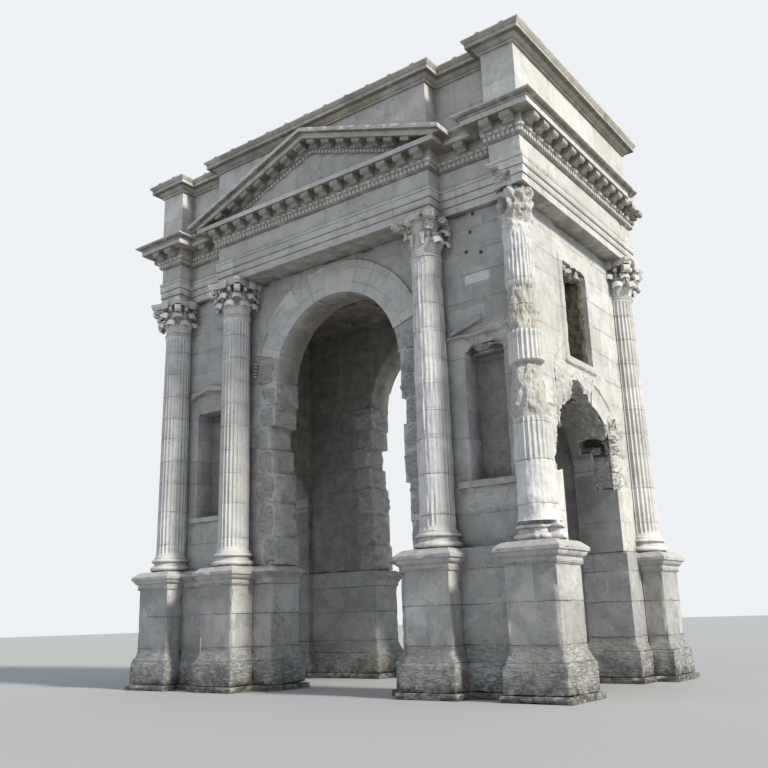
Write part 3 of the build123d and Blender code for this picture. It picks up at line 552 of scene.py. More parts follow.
def eroded_shaft(angle, level):
    """The stump: chiselled at its foot and rough above, but three stretches kept their flutes. The
    side to the passage is lost, and a round socket is sunk in the ruined capital."""
    for (below, out_low, left_low), (above, out_high, left_high) in zip(EROSION, EROSION[1:]):
        if level <= above:
            break
    share = within_unit((level - below) / (above - below))
    out = out_low + share * (out_high - out_low)
    left = left_low + share * (left_high - left_low)
    spot = Vector((cos(angle), sin(angle), level * 2.7))
    lumps = 0.055 * noise.noise(spot * 1.3) + 0.045 * noise.noise(spot * 2.9)
    lumps += 0.03 * abs(noise.noise(spot * 5.3))
    lumps += 0.013 * noise.noise(spot * 11.0) + 0.007 * noise.noise(spot * 23.0)
    chisel = 0.008 * noise.noise(Vector((spot.x * 4, spot.y * 4, level * 19)))
    lumps += within_unit((CHISELLED_TOP - level) * 6) * (chisel - 0.72 * lumps)
    lumps += 0.1 * max(0.0, level - RUINED_LOW) * noise.noise(spot * 3.7)
    lost_side = 0.07 * max(0.0, cos(angle + 0.2))
    lost_side *= within_unit(min((level - 4.8) * 2, (8.9 - level) * 4))
    round_gap = hypot(0.4 * remainder(angle - SOCKET_TURN, 2 * pi), level - SOCKET_LEVEL)
    socket = 0.14 * within_unit((SOCKET_RADIUS - round_gap) / 0.04)
    socket -= 0.035 * exp(-(((round_gap - 0.2) / 0.05) ** 2))
    out += lumps * (1 - 0.9 * left) - (0.012 + lost_side) * (1 - left) - socket
    return out, left


def shaft_levels(low, high, pitch):
    """Heights of the rings of a shaft, close together at the drum joints and the ends."""
    steps = ceil((high - low) / pitch)
    levels = {round(low + (high - low) * index / steps, 3) for index in range(steps + 1)}
    for joint in DRUM_JOINTS:
        if low < joint < high:
            levels -= {level for level in levels if abs(level - joint) < 0.02}
            levels |= {joint - 0.012, joint, joint + 0.012}
    for reach in (0.03, 0.07, 0.1, 0.13):
        levels |= {round(low + reach, 3), round(high - reach, 3)}
    return sorted(levels)


def ring_surface(bm, rings):
    """Skins rings of points, each with the same count, and closes both ends."""
    skin = [[bm.verts.new(point) for point in ring] for ring in rings]
    for below, above in zip(skin, skin[1:]):
        for index, low in enumerate(below):
            after = (index + 1) % len(below)
            bm.faces.new((low, below[after], above[after], above[index]))
    bm.faces.new(list(reversed(skin[0])))
    bm.faces.new(skin[-1])


def column_shaft(bm, centre, wear, top, pitch):
    """A shaft of fluted drums, worn as the given rule says."""
    rings = []
    for level in shaft_levels(SHAFT_LOW, top, pitch):
        share = (level - SHAFT_LOW) / (SHAFT_HIGH - SHAFT_LOW)
        radius = RADIUS_LOW - (RADIUS_LOW - RADIUS_HIGH) * share ** 1.5
        radius += 0.03 * exp(-(level - SHAFT_LOW) / 0.04)
        if top == SHAFT_HIGH:
            radius += 0.02 * exp(-(SHAFT_HIGH - level) / 0.04)
        start = (level - SHAFT_LOW - FLUTE_MARGIN) / FLUTE_END
        end = within_unit(min(start, (SHAFT_HIGH - FLUTE_END - level) / FLUTE_END))
        joint = min(abs(level - drum) for drum in DRUM_JOINTS) < 0.002
        ring = []
        for index in range(FLUTES * FLUTE_POINTS):
            angle = 2 * pi * index / (FLUTES * FLUTE_POINTS)
            change, left = wear(angle, level)
            across = abs((index % FLUTE_POINTS) - 3.5) / 3.0
            hollow = sqrt(max(0.0, 1 - across * across)) * sqrt(end)
            spot = Vector((cos(angle) * 9, sin(angle) * 9, level * 5)) + centre
            chip = 0.004 * max(0.0, noise.noise(spot))
            out = radius + change - FLUTE_DEPTH * hollow * left - chip - (0.007 if joint else 0)
            ring.append(centre + Vector((out * cos(angle), out * sin(angle), level)))
        rings.append(ring)
    ring_surface(bm, rings)


BASE_POINTS = 56


def rolled_base(bm, centre, wear, lost):
    """Two rolls with a hollow between them on a round foot, worn and chipped."""
    profile = [(0.43, FOOT)]
    for index in range(9):
        turn = pi * index / 8
        profile.append((0.415 + 0.06 * sin(turn), 2.685 - 0.062 * cos(turn)))
    profile += [(0.405, 2.752), (0.393, 2.775), (0.39, 2.8), (0.398, 2.82)]
    for index in range(7):
        turn = pi * index / 6
        profile.append((0.402 + 0.045 * sin(turn), 2.865 - 0.04 * cos(turn)))
    profile += [(0.392, 2.91), (0.385, SHAFT_LOW)]
    rings = []
    for radius, level in profile:
        ring = []
        for index in range(BASE_POINTS):
            angle = 2 * pi * index / BASE_POINTS
            spot = Vector((cos(angle), sin(angle), level)) + centre
            out = radius - wear * max(0.0, 0.2 + noise.noise(spot * 3.0))
            out -= 0.3 * wear * abs(noise.noise(spot * 11.0))
            out -= lost * within_unit(3 * noise.noise(spot * 1.1 + Vector((5, 2, 0))) + 0.6)
            ring.append(centre + Vector((out * cos(angle), out * sin(angle), level)))
        rings.append(ring)
    ring_surface(bm, rings)


column_finish = stone_finish(
    "column_drum_stone", (0.79, 0.78, 0.76, 1), (0.73, 0.705, 0.665, 1), (0.56, 0.555, 0.545, 1),
    drums=True, relief=0.45, hollow_shade=0.9, joint_depth=0.8,
)
broken_finish = stone_finish(
    "broken_stone", (0.66, 0.64, 0.6, 1), (0.58, 0.54, 0.47, 1), (0.4, 0.385, 0.36, 1),
    relief=1.0, hollow_shade=0.9,
)
BARE_STRETCHES = ((4.8, 5.83), (6.45, 7.33), (8.6, 9.36))
RUINED_CAPITAL = "capital_front_right_corner"
WHOLE = (whole_shaft, 0.16, 0.008, 0.0)
WEAR = {
    "column_front_right_inner": (worn_smooth_shaft, 0.09, 0.02, 0.0),
    "column_front_right_corner": (eroded_shaft, 0.032, 0.06, 0.13),
}


def column_axis(corner, spot):
    """The foot of a column's axis, at the ground."""
    side, end = (-1 if "left" in corner else 1), (-1 if "front" in corner else 1)
    return Vector((AXIS_X[spot] * side, AXIS_Y * end, 0))


for corner in CORNERS:
    for spot in AXIS_X:
        name = f"column_{corner}_{spot}"
        rule, pitch, wear, lost = WEAR.get(name, WHOLE)
        ruined = rule == eroded_shaft
        centre = column_axis(corner, spot)
        bm = bmesh.new()
        column_shaft(bm, centre, rule, CAPITAL_HIGH if ruined else SHAFT_HIGH, pitch)
        rolled_base(bm, centre, wear, lost)
        stands_for = [name] + ([RUINED_CAPITAL] if ruined else [])
        piece = set_piece(bm, "fluted_" + name, column_finish, "column_limestone", *stands_for)
        if ruined:
            piece.data.materials.append(broken_finish)
            for face in piece.data.polygons:
                bare = any(low < face.center.z < high for low, high in BARE_STRETCHES)
                face.material_index = int(bare)


# Capitals
# A bell under a hollow-sided slab, dressed with two rows of eight smooth leaves whose lips curl
# out, stems that part into scrolls, and a block in the middle of each side of the slab.
BELL = (
    (0.312, 8.45), (0.338, 8.462), (0.345, 8.478), (0.338, 8.494), (0.318, 8.503),
    (0.33, 8.512), (0.332, 8.52), (0.322, 8.53), (0.298, 8.54), (0.298, 8.85),
    (0.305, 9.0), (0.325, 9.12), (0.37, 9.2), (0.385, 9.215),
)
BELL_POINTS, LEAF_THICKNESS, STEM_THICKNESS, SCROLL_THICKNESS = 40, 0.06, 0.05, 0.045


def curled_leaf(bm, centre, turn, foot, height, width, lip):
    """One smooth leaf: it climbs the bell, swells, and curls out and down at its lip."""
    path = []
    for index in range(7):
        share = index / 6
        out = 0.305 + 0.02 * share + 0.045 * share ** 3
        path.append((out, foot + (height - lip) * share, 1.0 - 0.12 * share))
    start_out, start_up = path[-1][0], path[-1][1]
    for index in range(1, 8):
        angle = radians(205) * index / 7
        out = start_out + lip * (1 - cos(angle))
        up = start_up + lip * sin(angle)
        path.append((out, up, 0.92 - 0.14 * (index / 7) ** 2))
    rows = []
    for out, up, share in path:
        row = []
        for step in range(7):
            across = (step - 3) / 3
            rib = 0.006 * cos(across * pi * 2.0) * (1 - abs(across))
            reach = out + rib - 0.028 * across * across
            angle = turn + across * 0.5 * width * share / max(out, 0.2)
            droop = 0.03 * abs(across) ** 2 * (1 if out > start_out else 0.3)
            row.append((reach * cos(angle), reach * sin(angle), up - droop))
        rows.append(row)
    front = [[bm.verts.new(centre + Vector(point)) for point in row] for row in rows]
    back = []
    for row_index, row in enumerate(rows):
        before = path[max(0, row_index - 1)]
        after = path[min(len(path) - 1, row_index + 1)]
        tangent = Vector((after[0] - before[0], 0, after[1] - before[1])).normalized()
        made = []
        for point in row:
            radial = Vector((point[0], point[1], 0)).normalized()
            normal = radial * tangent.z - Vector((0, 0, 1)) * tangent.x
            made.append(bm.verts.new(centre + Vector(point) - normal * LEAF_THICKNESS))
        back.append(made)
    for r in range(len(rows) - 1):
        for c in range(6):
            bm.faces.new((front[r][c], front[r][c + 1], front[r + 1][c + 1], front[r + 1][c]))
            bm.faces.new((back[r][c + 1], back[r][c], back[r + 1][c], back[r + 1][c + 1]))
        bm.faces.new((back[r][0], front[r][0], front[r + 1][0], back[r + 1][0]))
        bm.faces.new((front[r][6], back[r][6], back[r + 1][6], front[r + 1][6]))
    for c in range(6):
        bm.faces.new((front[-1][c], front[-1][c + 1], back[-1][c + 1], back[-1][c]))
        bm.faces.new((front[0][c + 1], front[0][c], back[0][c], back[0][c + 1]))


def ribbon(bm, path, thick, widths, across):
    """A bar swept along a path of points; across is its broad direction."""
    rings = []
    for index, point in enumerate(path):
        before = path[max(0, index - 1)]
        after = path[min(len(path) - 1, index + 1)]
        tangent = (after - before).normalized()
        normal = tangent.cross(across).normalized()
        half = across * widths[index] / 2
        lift = normal * thick / 2
        low, high = point - lift, point + lift
        rings.append([low - half, low + half, high + half, high - half])
    ring_surface(bm, rings)


def scroll(bm, centre, turn, start, eye, radius, width, loops=1.4):
    """A stem that climbs outwards and rolls up into a scroll."""
    out = Vector((cos(turn), sin(turn), 0))
    across = Vector((-sin(turn), cos(turn), 0))
    path = []
    widths = []
    top = Vector((eye[0], 0, eye[1] + radius))
    for index in range(7):
        share = index / 7
        flat = (1 - share) ** 2 * Vector((start[0], 0, start[1]))
        flat += 2 * share * (1 - share) * Vector((start[0] + 0.02, 0, top.z - 0.01))
        flat += share ** 2 * top
        path.append(flat)
        widths.append(width * (0.55 + 0.45 * share))
    for index in range(22):
        share = index / 21
        angle = pi / 2 - 2 * pi * loops * share
        reach = radius * (1 - 0.8 * share)
        path.append(Vector((eye[0] + reach * cos(angle), 0, eye[1] + reach * sin(angle))))
        widths.append(width * (1 - 0.1 * share))
    placed = [centre + out * point.x + Vector((0, 0, point.z)) for point in path]
    ribbon(bm, placed, SCROLL_THICKNESS, widths, across)


def slab_outline(half, cut, hollow, level):
    """The outline of the slab: four hollow sides between cut corners."""
    edge = []
    for side in range(4):
        turn = pi / 2 * side
        for step in range(9):
            share = 2 * (step / 8) - 1
            along = (half - cut) * share
            out = half - hollow * (1 - share ** 2)
            place = Vector((out, along, level))
            edge.append(Matrix.Rotation(turn, 3, "Z") @ place)
    return edge


def capital_slab(bm, centre):
    """The hollow-sided slab in its mouldings, and the block in the middle of each side."""
    steps = (
        (0.505, 0.075, 0.1, 9.212), (0.52, 0.08, 0.105, 9.25), (0.53, 0.078, 0.105, 9.262),
        (0.545, 0.078, 0.109, 9.3), (0.545, 0.078, 0.109, 9.35),
    )
    ring_surface(bm, [[centre + point for point in slab_outline(*step)] for step in steps])
    swelling = ((0.40, 0.06, 9.15), (0.49, 0.085, 9.165), (0.525, 0.1, 9.23), (0.525, 0.1, 9.345))
    for side in range(4):
        turn = Matrix.Rotation(pi / 2 * side, 3, "Z")
        rings = []
        for out, half, level in swelling:
            outline = ((0.3, -half), (out, -half), (out, half), (0.3, half))
            rings.append([centre + turn @ Vector((x, y, level)) for x, y in outline])
        ring_surface(bm, rings)


def leaf_capital(bm, centre, low_leaves=range(8), broken=False):
    """A capital round a column's axis; a broken one keeps its bell, stems and the named leaves."""
    rings = []
    for radius, level in BELL:
        ring = []
        for index in range(BELL_POINTS):
            angle = 2 * pi * index / BELL_POINTS
            ring.append(centre + Vector((radius * cos(angle), radius * sin(angle), level)))
        rings.append(ring)
    ring_surface(bm, rings)
    for index in low_leaves:
        curled_leaf(bm, centre, pi / 4 * (index + 0.5), 8.53, 0.265, 0.262, 0.058)
    for index in range(0 if broken else 8):
        curled_leaf(bm, centre, pi / 4 * index, 8.55, 0.455, 0.25, 0.064)
    for index in range(8):
        stem = pi / 4 * (index + 0.5)
        foot = Vector((0.32 * cos(stem), 0.32 * sin(stem), 8.72))
        cup = Vector((0.35 * cos(stem), 0.35 * sin(stem), 8.97))
        across = Vector((-sin(stem), cos(stem), 0))
        path = [centre + foot.lerp(cup, k / 5) for k in range(6)]
        ribbon(bm, path, STEM_THICKNESS, [0.05, 0.055, 0.06, 0.075, 0.1, 0.13], across)
    for index in range(0 if broken else 4):
        turn = pi / 4 + pi / 2 * index
        scroll(bm, centre, turn, (0.34, 8.9), (0.56, 9.1), 0.095, 0.15)
        for lean in (-1, 1):
            inner = turn + lean * radians(24)
            scroll(bm, centre, inner, (0.335, 8.92), (0.42, 9.13), 0.055, 0.08, 1.1)
    if not broken:
        capital_slab(bm, centre)
    battered = 0.012 if broken else 0.004
    for vert in bm.verts:
        vert.co += battered * noise.noise_vector(vert.co * 6.0) * 1.2
        vert.co.z = min(vert.co.z, CAPITAL_HIGH)


def battered_block(bm, centre, size, turn, rough, cuts, seed):
    """A rough stone: a block whose faces and corners are broken back."""
    before = len(bm.verts)
    made = bmesh.ops.create_cube(bm, size=1.0)["verts"]
    edges = list({edge for vert in made for edge in vert.link_edges})
    bmesh.ops.subdivide_edges(bm, edges=edges, cuts=cuts, use_grid_fill=True)
    bm.verts.ensure_lookup_table()
    verts = bm.verts[before:]
    spin = Matrix.Rotation(turn, 3, "Z")
    for vert in verts:
        unit = vert.co.copy()
        far = sorted(abs(part) for part in unit)
        corner = max(0.0, far[1] - 0.32) * 0.5 + max(0.0, far[0] - 0.32) * 0.5
        co = Vector((unit.x * size[0], unit.y * size[1], unit.z * size[2])) * (1 - corner)
        spot = Vector((co.x * 3.2 + seed * 5.1, co.y * 3.2 + seed * 2.3, co.z * 5.0 + seed))
        for share, finer in ((1.0, 1.0), (0.5, 2.7), (0.4, 6.1), (0.25, 12.3)):
            co += rough * share * noise.noise_vector(spot * finer)
        vert.co = Vector(centre) + spin @ co


capital_finish = stone_finish(
    "capital_stone", (0.79, 0.78, 0.75, 1), (0.72, 0.69, 0.63, 1), (0.56, 0.55, 0.53, 1),
    relief=0.45, hollow_shade=1.0,
)
BROKEN_SLAB = (
    ((-0.38, -0.38, 9.18), (0.36, 0.15, 0.15), 0.785),
    ((-0.2, -0.36, 9.22), (0.34, 0.12, 0.12), 0.4),
    ((-0.02, -0.4, 9.28), (0.36, 0.12, 0.13), 0.0), ((0.35, -0.38, 9.27), (0.3, 0.2, 0.2), -0.785),
    ((0.27, -0.28, 9.12), (0.16, 0.14, 0.2), -0.785), ((0.0, 0.02, 9.26), (0.7, 0.64, 0.18), 0.0),
    ((0.44, 0.02, 9.24), (0.16, 0.2, 0.16), 0.3), ((0.36, 0.26, 9.12), (0.22, 0.22, 0.2), 0.785),
    ((-0.25, -0.25, 9.04), (0.12, 0.12, 0.24), 0.785),
    ((0.18, -0.2, 9.02), (0.12, 0.1, 0.22), -0.785),
)
for corner in CORNERS:
    for spot in AXIS_X:
        name = f"capital_{corner}_{spot}"
        if name == RUINED_CAPITAL:
            continue
        centre = column_axis(corner, spot)
        bm = bmesh.new()
        if name == "capital_front_right_inner":
            leaf_capital(bm, centre, (7,), broken=True)
            curled_leaf(bm, centre, radians(28), 8.53, 0.27, 0.26, 0.06)
            curled_leaf(bm, centre, radians(14), 8.55, 0.47, 0.25, 0.066)
            for seed, (place, size, turn) in enumerate(BROKEN_SLAB):
                battered_block(bm, centre + Vector(place), size, turn, 0.06, 12, seed + 3)
        else:
            leaf_capital(bm, centre)
        set_piece(bm, "leaf_" + name, capital_finish, "column_limestone", name, loose=True)


# Rough stones of the arches
# Blocks with a quarry face or broken arrises: the courses of the main jambs, the feet of the
# rings above them, the torn side arch on the right, and the row of broken stones over the tall
# niche.
JAMB_COURSES = (
    (2.62, 3.24, 0.0, 0.2), (3.24, 4.03, 0.05, 0.18), (4.03, 4.69, 0.06, 0.08),
    (4.69, 5.24, 0.13, 0.08), (5.24, 5.77, 0.23, 0.15), (5.77, 6.27, 0.05, 0.05),
    (6.27, 6.8, 0.0, 0.05), (6.8, 7.3, 0.1, 0.1),
)  # foot, top, and how far its left and its right block are broken back
OPENING_HALF, ARCH_FACE, JAMB_GAP, SPRINGING = 1.74, 2.2, 0.01, 6.8
quarried_finish = stone_finish(
    "rough_jamb_stone", (0.66, 0.65, 0.63, 1), (0.6, 0.575, 0.52, 1), (0.42, 0.42, 0.415, 1),
    relief=1.0, hollow_shade=0.9, y_face_shade=0.2, strata=0.9, scabs=0.2,
    lines=(3.24, 4.03, 4.69, 5.24, 5.77, 6.27, 6.8),
)
bm = bmesh.new()
picker = random.Random(4)
for end in (-1, 1):
    for low, high, left_loss, right_loss in JAMB_COURSES:
        for side, loss in ((-1, left_loss), (1, right_loss)):
            deep = 0.8 if low < SPRINGING else 0.3
            inner = OPENING_HALF + loss + picker.uniform(-0.02, 0.03)
            length = picker.uniform(0.42, 0.62)
            along = ARCH_FACE - deep / 2 + picker.uniform(0.012, 0.035)
            middle = (side * (inner + length / 2), end * along, (low + high) / 2)
            size = (length, deep, high - low - JAMB_GAP)
            battered_block(bm, middle, size, 0.0, 0.05, 13, picker.random() * 9)
set_piece(bm, "jamb_blocks", quarried_finish, "limestone", loose=True)

# The torn end of the side arch, and the row of broken stones over the tall niche.
TORN_STONES = (
    ((4.6, 1.5, 4.29), (0.52, 0.34, 0.68), 0.0, 0.06),
    ((4.72, 1.45, 5.2), (0.3, 0.34, 0.36), 0.1, 0.08),
    ((4.7, 1.24, 5.42), (0.3, 0.26, 0.2), 0.3, 0.08),
    ((4.76, 1.46, 4.84), (0.24, 0.3, 0.34), -0.1, 0.07),
    ((4.3, 1.56, 4.82), (0.5, 0.3, 0.18), 0.0, 0.06),
    ((4.5, 1.62, 4.68), (0.46, 0.24, 0.14), 0.0, 0.06),
)
LINTEL_STONES, LINTEL_START, LINTEL_STEP = 11, -0.52, 0.104
bm = bmesh.new()
for seed, (middle, size, turn, rough) in enumerate(TORN_STONES):
    battered_block(bm, middle, size, turn, rough, 11, seed)
picker = random.Random(9)
for index in range(LINTEL_STONES):
    middle = (4.66, LINTEL_START + LINTEL_STEP * index, 8.5 - picker.uniform(0.0, 0.07))
    size = (picker.uniform(0.2, 0.34), picker.uniform(0.1, 0.18), picker.uniform(0.1, 0.22))
    battered_block(bm, middle, size, picker.uniform(-0.5, 0.5), 0.05, 5, index + 30)
set_piece(bm, "torn_stones", broken_finish, "limestone", loose=True)


# Eggs of the main ring
# A short run of the carved eggs that once went round the front arch is left at its left foot,
# worn almost flat and with a gap of three.
EGG_RING_RADIUS, EGG_FACE, EGG_START, EGG_STEP = 2.41, -2.25, 147.5, 1.8
EGGS_LEFT = [*range(8), *range(11, 16)]
bm = bmesh.new()
for index in EGGS_LEFT:
    turn = radians(EGG_START + EGG_STEP * index)
    across, up = EGG_RING_RADIUS * cos(turn), EGG_RING_RADIUS * sin(turn)
    oval = Matrix.Translation((across, EGG_FACE, SPRINGING + up)) @ Matrix.Rotation(-turn, 4, "Y")
    oval = oval @ Matrix.Diagonal((0.07, 0.035, 0.024, 1))
    bmesh.ops.create_icosphere(bm, subdivisions=2, radius=1.0, matrix=oval)
set_piece(bm, "ring_eggs", wall_finish, "limestone")


# Scars of the near niche
# The gable over the near niche is hacked off: a broken lip, slanting tool marks above it, and
# ragged scars and quarry faces where blocks are lost. One pale block patches the wall.
ALONG_X, ALONG_Y, UP = Vector((1, 0, 0)), Vector((0, 1, 0)), Vector((0, 0, 1))


def relief(bm, start, across, size, cells, rule):
    """A patch of broken surface laid over a wall: the rule (u, v in metres) gives how far it
    stands out; where that is below 0 it is buried."""
    out = across.cross(UP)
    rows = []
    for row in range(cells[1] + 1):
        v = size[1] * row / cells[1]
        line = []
        for column in range(cells[0] + 1):
            u = size[0] * column / cells[0]
            edge = min(u, v, size[0] - u, size[1] - v)
            edge += 0.07 * noise.noise(Vector((u * 7, v * 7, 11)))
            rise = rule(u, v) - 0.06 * (1 - within_unit(edge / 0.1))
            if row in (0, cells[1]) or column in (0, cells[0]):
                rise = -0.05
            place = Vector(start) + across * u + UP * v
            line.append(bm.verts.new(place + out * rise))
        rows.append(line)
    for below, above in zip(rows, rows[1:]):
        for index in range(cells[0]):
            bm.faces.new((below[index], below[index + 1], above[index + 1], above[index]))


def ledge_rule(u, v):
    """The stub of the gable over the near niche: a broken lip, thinning to the right."""
    spot = Vector((u * 5, v * 7, 3))
    line = 0.17 + 0.03 * noise.noise(Vector((u * 2.5, 0, 0))) + 0.02 * u
    lip = exp(-(((v - line) / (0.035 if v < line else 0.075)) ** 2))
    worn = 0.14 - 0.06 * u + 0.05 * noise.noise(spot)
    return lip * max(0.02, worn) + 0.02 * noise.noise(spot * 2.3) - 0.01


def chisel_rule(u, v):
    """Slanting tool marks on the wall above that lip."""
    slant = v - 0.32 * u
    band = exp(-(((slant - 0.1) / 0.13) ** 2))
    band *= max(0.0, 0.4 + 1.5 * noise.noise(Vector((u * 2.5, v * 6, 3))))
    ridges = (0.5 + 0.5 * sin(slant * 110 + 4 * noise.noise(Vector((u * 3, v * 3, 0))))) ** 2
    return band * (0.015 * ridges + 0.009 * noise.noise(Vector((u * 9, v * 9, 1)))) - 0.003


def scar_rule(u, v):
    """A low ragged scar."""
    spot = Vector((u * 6, v * 9, 7))
    return 0.03 * noise.noise(spot) + 0.02 * noise.noise(spot * 2.6) - 0.004


def quarry_rule(u, v):
    """A quarry face: level ledges with dark cracks between them, and lumps."""
    spot = Vector((u * 4, v * 10, 2))
    ledges = abs(noise.noise(spot)) + 0.5 * abs(noise.noise(spot * 2.3))
    return 0.06 - 0.13 * ledges + 0.05 * noise.noise(Vector((u * 9, v * 9, 4)))


bm = bmesh.new()
relief(bm, (4.84, 1.26, 3.9), ALONG_Y, (0.36, 1.66), (26, 112), quarry_rule)
relief(bm, (4.3, 1.35, 3.92), ALONG_X, (0.56, 0.74), (44, 56), quarry_rule)
relief(bm, (3.0, -2.3, 6.54), ALONG_X, (1.5, 0.38), (75, 26), ledge_rule)
relief(bm, (3.06, -2.3, 6.84), ALONG_X, (0.9, 0.5), (86, 56), chisel_rule)
relief(bm, (3.5, -2.3, 8.01), ALONG_X, (0.66, 0.13), (44, 12), scar_rule)
relief(bm, (3.2, -2.3, 3.3), ALONG_X, (1.2, 0.5), (48, 20), scar_rule)
set_piece(bm, "niche_scars", wall_finish, "limestone")

patch_finish = stone_finish(
    "pale_patch_stone", (0.74, 0.73, 0.71, 1), (0.7, 0.685, 0.65, 1), (0.62, 0.61, 0.6, 1),
    relief=0.25, scabs=0.1, clouding=0.3,
)
bm = bmesh.new()
battered_block(bm, (3.81, -2.275, 7.895), (0.58, 0.08, 0.21), 0.0, 0.004, 8, 3)
set_piece(bm, "patch_block", patch_finish, "limestone", loose=True)


# Rubble core
# The tall niche over the right side arch has lost its lining and shows the rubble and mortar of
# the wall's core, lumpy and deeply shadowed. It is painted very dark: the core's own colour
# together with painted shade of the deep recess.
# Very dark tones: the core's own colour together with painted shade of the deep recess.
core_and_shade_finish = stone_finish(
    "rubble_core", (0.17, 0.145, 0.11, 1), (0.12, 0.1, 0.075, 1), (0.07, 0.06, 0.05, 1),
    relief=1.0, scabs=0.2, roughness=0.95,
)
BURIED_STONES = (
    ((4.4, -1.52, 4.24), (0.6, 0.24, 0.4), 0.1, 0.07),
    ((4.35, -1.5, 4.72), (0.6, 0.22, 0.34), -0.1, 0.08),
    ((4.35, -1.34, 5.1), (0.6, 0.26, 0.3), 0.1, 0.08),
    ((4.35, -1.14, 5.42), (0.6, 0.3, 0.26), 0.0, 0.08),
    ((4.35, -0.8, 5.72), (0.6, 0.34, 0.22), 0.1, 0.08),
    ((4.3, -0.3, 5.98), (0.5, 0.2, 0.2), 0.0, 0.08),
    ((4.3, 0.1, 5.76), (0.5, 0.3, 0.16), -0.1, 0.07),
)


def core_rule(u, v):
    """Lumps the size of a fist and of a head, with gaps between them."""
    spot = Vector((u * 3.2, v * 3.2, 5))
    lumps = 0.1 * noise.noise(spot) + 0.07 * noise.noise(spot * 2.4) + 0.03 * noise.noise(spot * 6)
    return 0.16 + lumps


def cheek_rule(u, v):
    """The same core, smoother, on the niche's far cheek."""
    return 0.06 + 0.2 * core_rule(u, v)


bm = bmesh.new()
relief(bm, (4.23, -0.565, 6.46), ALONG_Y, (1.13, 2.05), (48, 84), core_rule)
for seed, (middle, size, turn, rough) in enumerate(BURIED_STONES):
    battered_block(bm, middle, size, turn, rough, 11, seed)
set_piece(bm, "niche_core", core_and_shade_finish, "stained_limestone")
bm = bmesh.new()
relief(bm, (4.23, 0.62, 6.46), ALONG_X, (0.57, 2.05), (24, 84), cheek_rule)
set_piece(bm, "niche_cheek", core_and_shade_finish, "stained_limestone")


# Pedestal caps
# Each pedestal's cornice has a bead at its foot, a swelling moulding and a flat band along its
# edge, cut in the same stone; rain and knocks have taken bites out of it.
CAP_PROFILE = (
    (-0.02, 2.2), (0.022, 2.205), (0.036, 2.222), (0.036, 2.238), (0.024, 2.252), (0.033, 2.258),
    (0.033, 2.33), (0.056, 2.334), (0.084, 2.36), (0.104, 2.4), (0.11, 2.422), (0.13, 2.426),
    (0.146, 2.436), (0.146, 2.497), (0.13, 2.512), (0.02, 2.6),
)
DIE_HALF, CAP_SPACING, CAP_WEAR = 0.49, 0.05, 0.05
SQUARE = ((-1, -1), (1, -1), (1, 1), (-1, 1))


def worn_cap(bm, middle, seed):
    """A moulding round a square die: its profile (out, level) meets in mitres at the corners."""
    loops = []
    for out, level in CAP_PROFILE:
        half = DIE_HALF + out
        middle = Vector((middle.x, middle.y, level))
        edge = [middle + Vector((x * half, y * half, 0)) for x, y in SQUARE]
        count = round(2 * DIE_HALF / CAP_SPACING)
        loop = []
        for first, last in zip(edge, edge[1:] + edge[:1]):
            loop += [first.lerp(last, index / count) for index in range(count)]
        for index, place in enumerate(loop):
            spot = place + Vector((seed * 3.3, 0, 0))
            bite = noise.noise(spot * 2.1) + 0.5 * noise.noise(spot * 6.0)
            bite = max(0.0, bite + 0.25 * noise.noise(spot * 15.0))
            inward = (middle - place).normalized()
            loop[index] = place + inward * CAP_WEAR * bite * max(0.2, out * 9)
        loops.append(loop)
    ring_surface(bm, loops)


bm = bmesh.new()
for seed, corner in enumerate(CORNERS):
    for spot in AXIS_X:
        worn_cap(bm, column_axis(corner, spot), seed * 2 + (spot == "inner"))
set_piece(bm, "pedestal_caps", base_finish, "stained_limestone", loose=True)


# Architrave, frieze and cornices
# Long dressed blocks of the better stone, sharper than the walls: three plain bands and a cap, a
# plain frieze, and a cornice carried on scrolls over a row of small rounded eggs.
UPPER_TONES = (0.72, 0.71, 0.68, 1), (0.65, 0.62, 0.565, 1), (0.49, 0.485, 0.475, 1)
upper_finish = stone_finish(
    "dressed_upper_stone", *UPPER_TONES, block_length=2.1, relief=0.35, joint_depth=0.35,
    hollow_shade=0.85, scabs=0.2, lines=(9.52, 9.69, 9.86, 9.93, 10.32),
)
CORNER_BREAKS = {
    "architrave": (
        ((4.4, -3.0, 9.3), (4.74, -2.62, 9.84), (0.05, 0.1, 0.04), 0.045),
        ((4.62, -3.0, 9.3), (4.96, -2.62, 9.66), (0.04, 0.09, 0.04), 0.045),
        ((4.86, -3.0, 9.3), (5.3, -2.62, 9.5), (0.0, 0.06, 0.03), 0.04),
        ((4.45, -3.0, 9.4), (5.4, -2.7, 10.0), (0, 0.015, 0), 0.02),
    ),
    "frieze": (
        ((4.45, -3.0, 9.9), (5.3, -2.7, 10.34), (0, 0.02, 0), 0.025),
        ((4.9, 2.2, 9.9), (5.4, 3.0, 10.4), (-0.02, 0, 0), 0.05),
    ),
    "main_cornice": (((4.9, 1.9, 10.3), (5.8, 3.4, 10.95), (-0.03, -0.03, 0), 0.07),),
}
cornice_finish = stone_finish(
    "rain_stained_cornice", (0.64, 0.615, 0.555, 1), (0.54, 0.51, 0.445, 1), (0.36, 0.35, 0.32, 1),
    block_length=2.1, relief=0.4, joint_depth=0.35, hollow_shade=0.95, scabs=0.3,
    lines=(12.414, 12.495, 12.59),
)
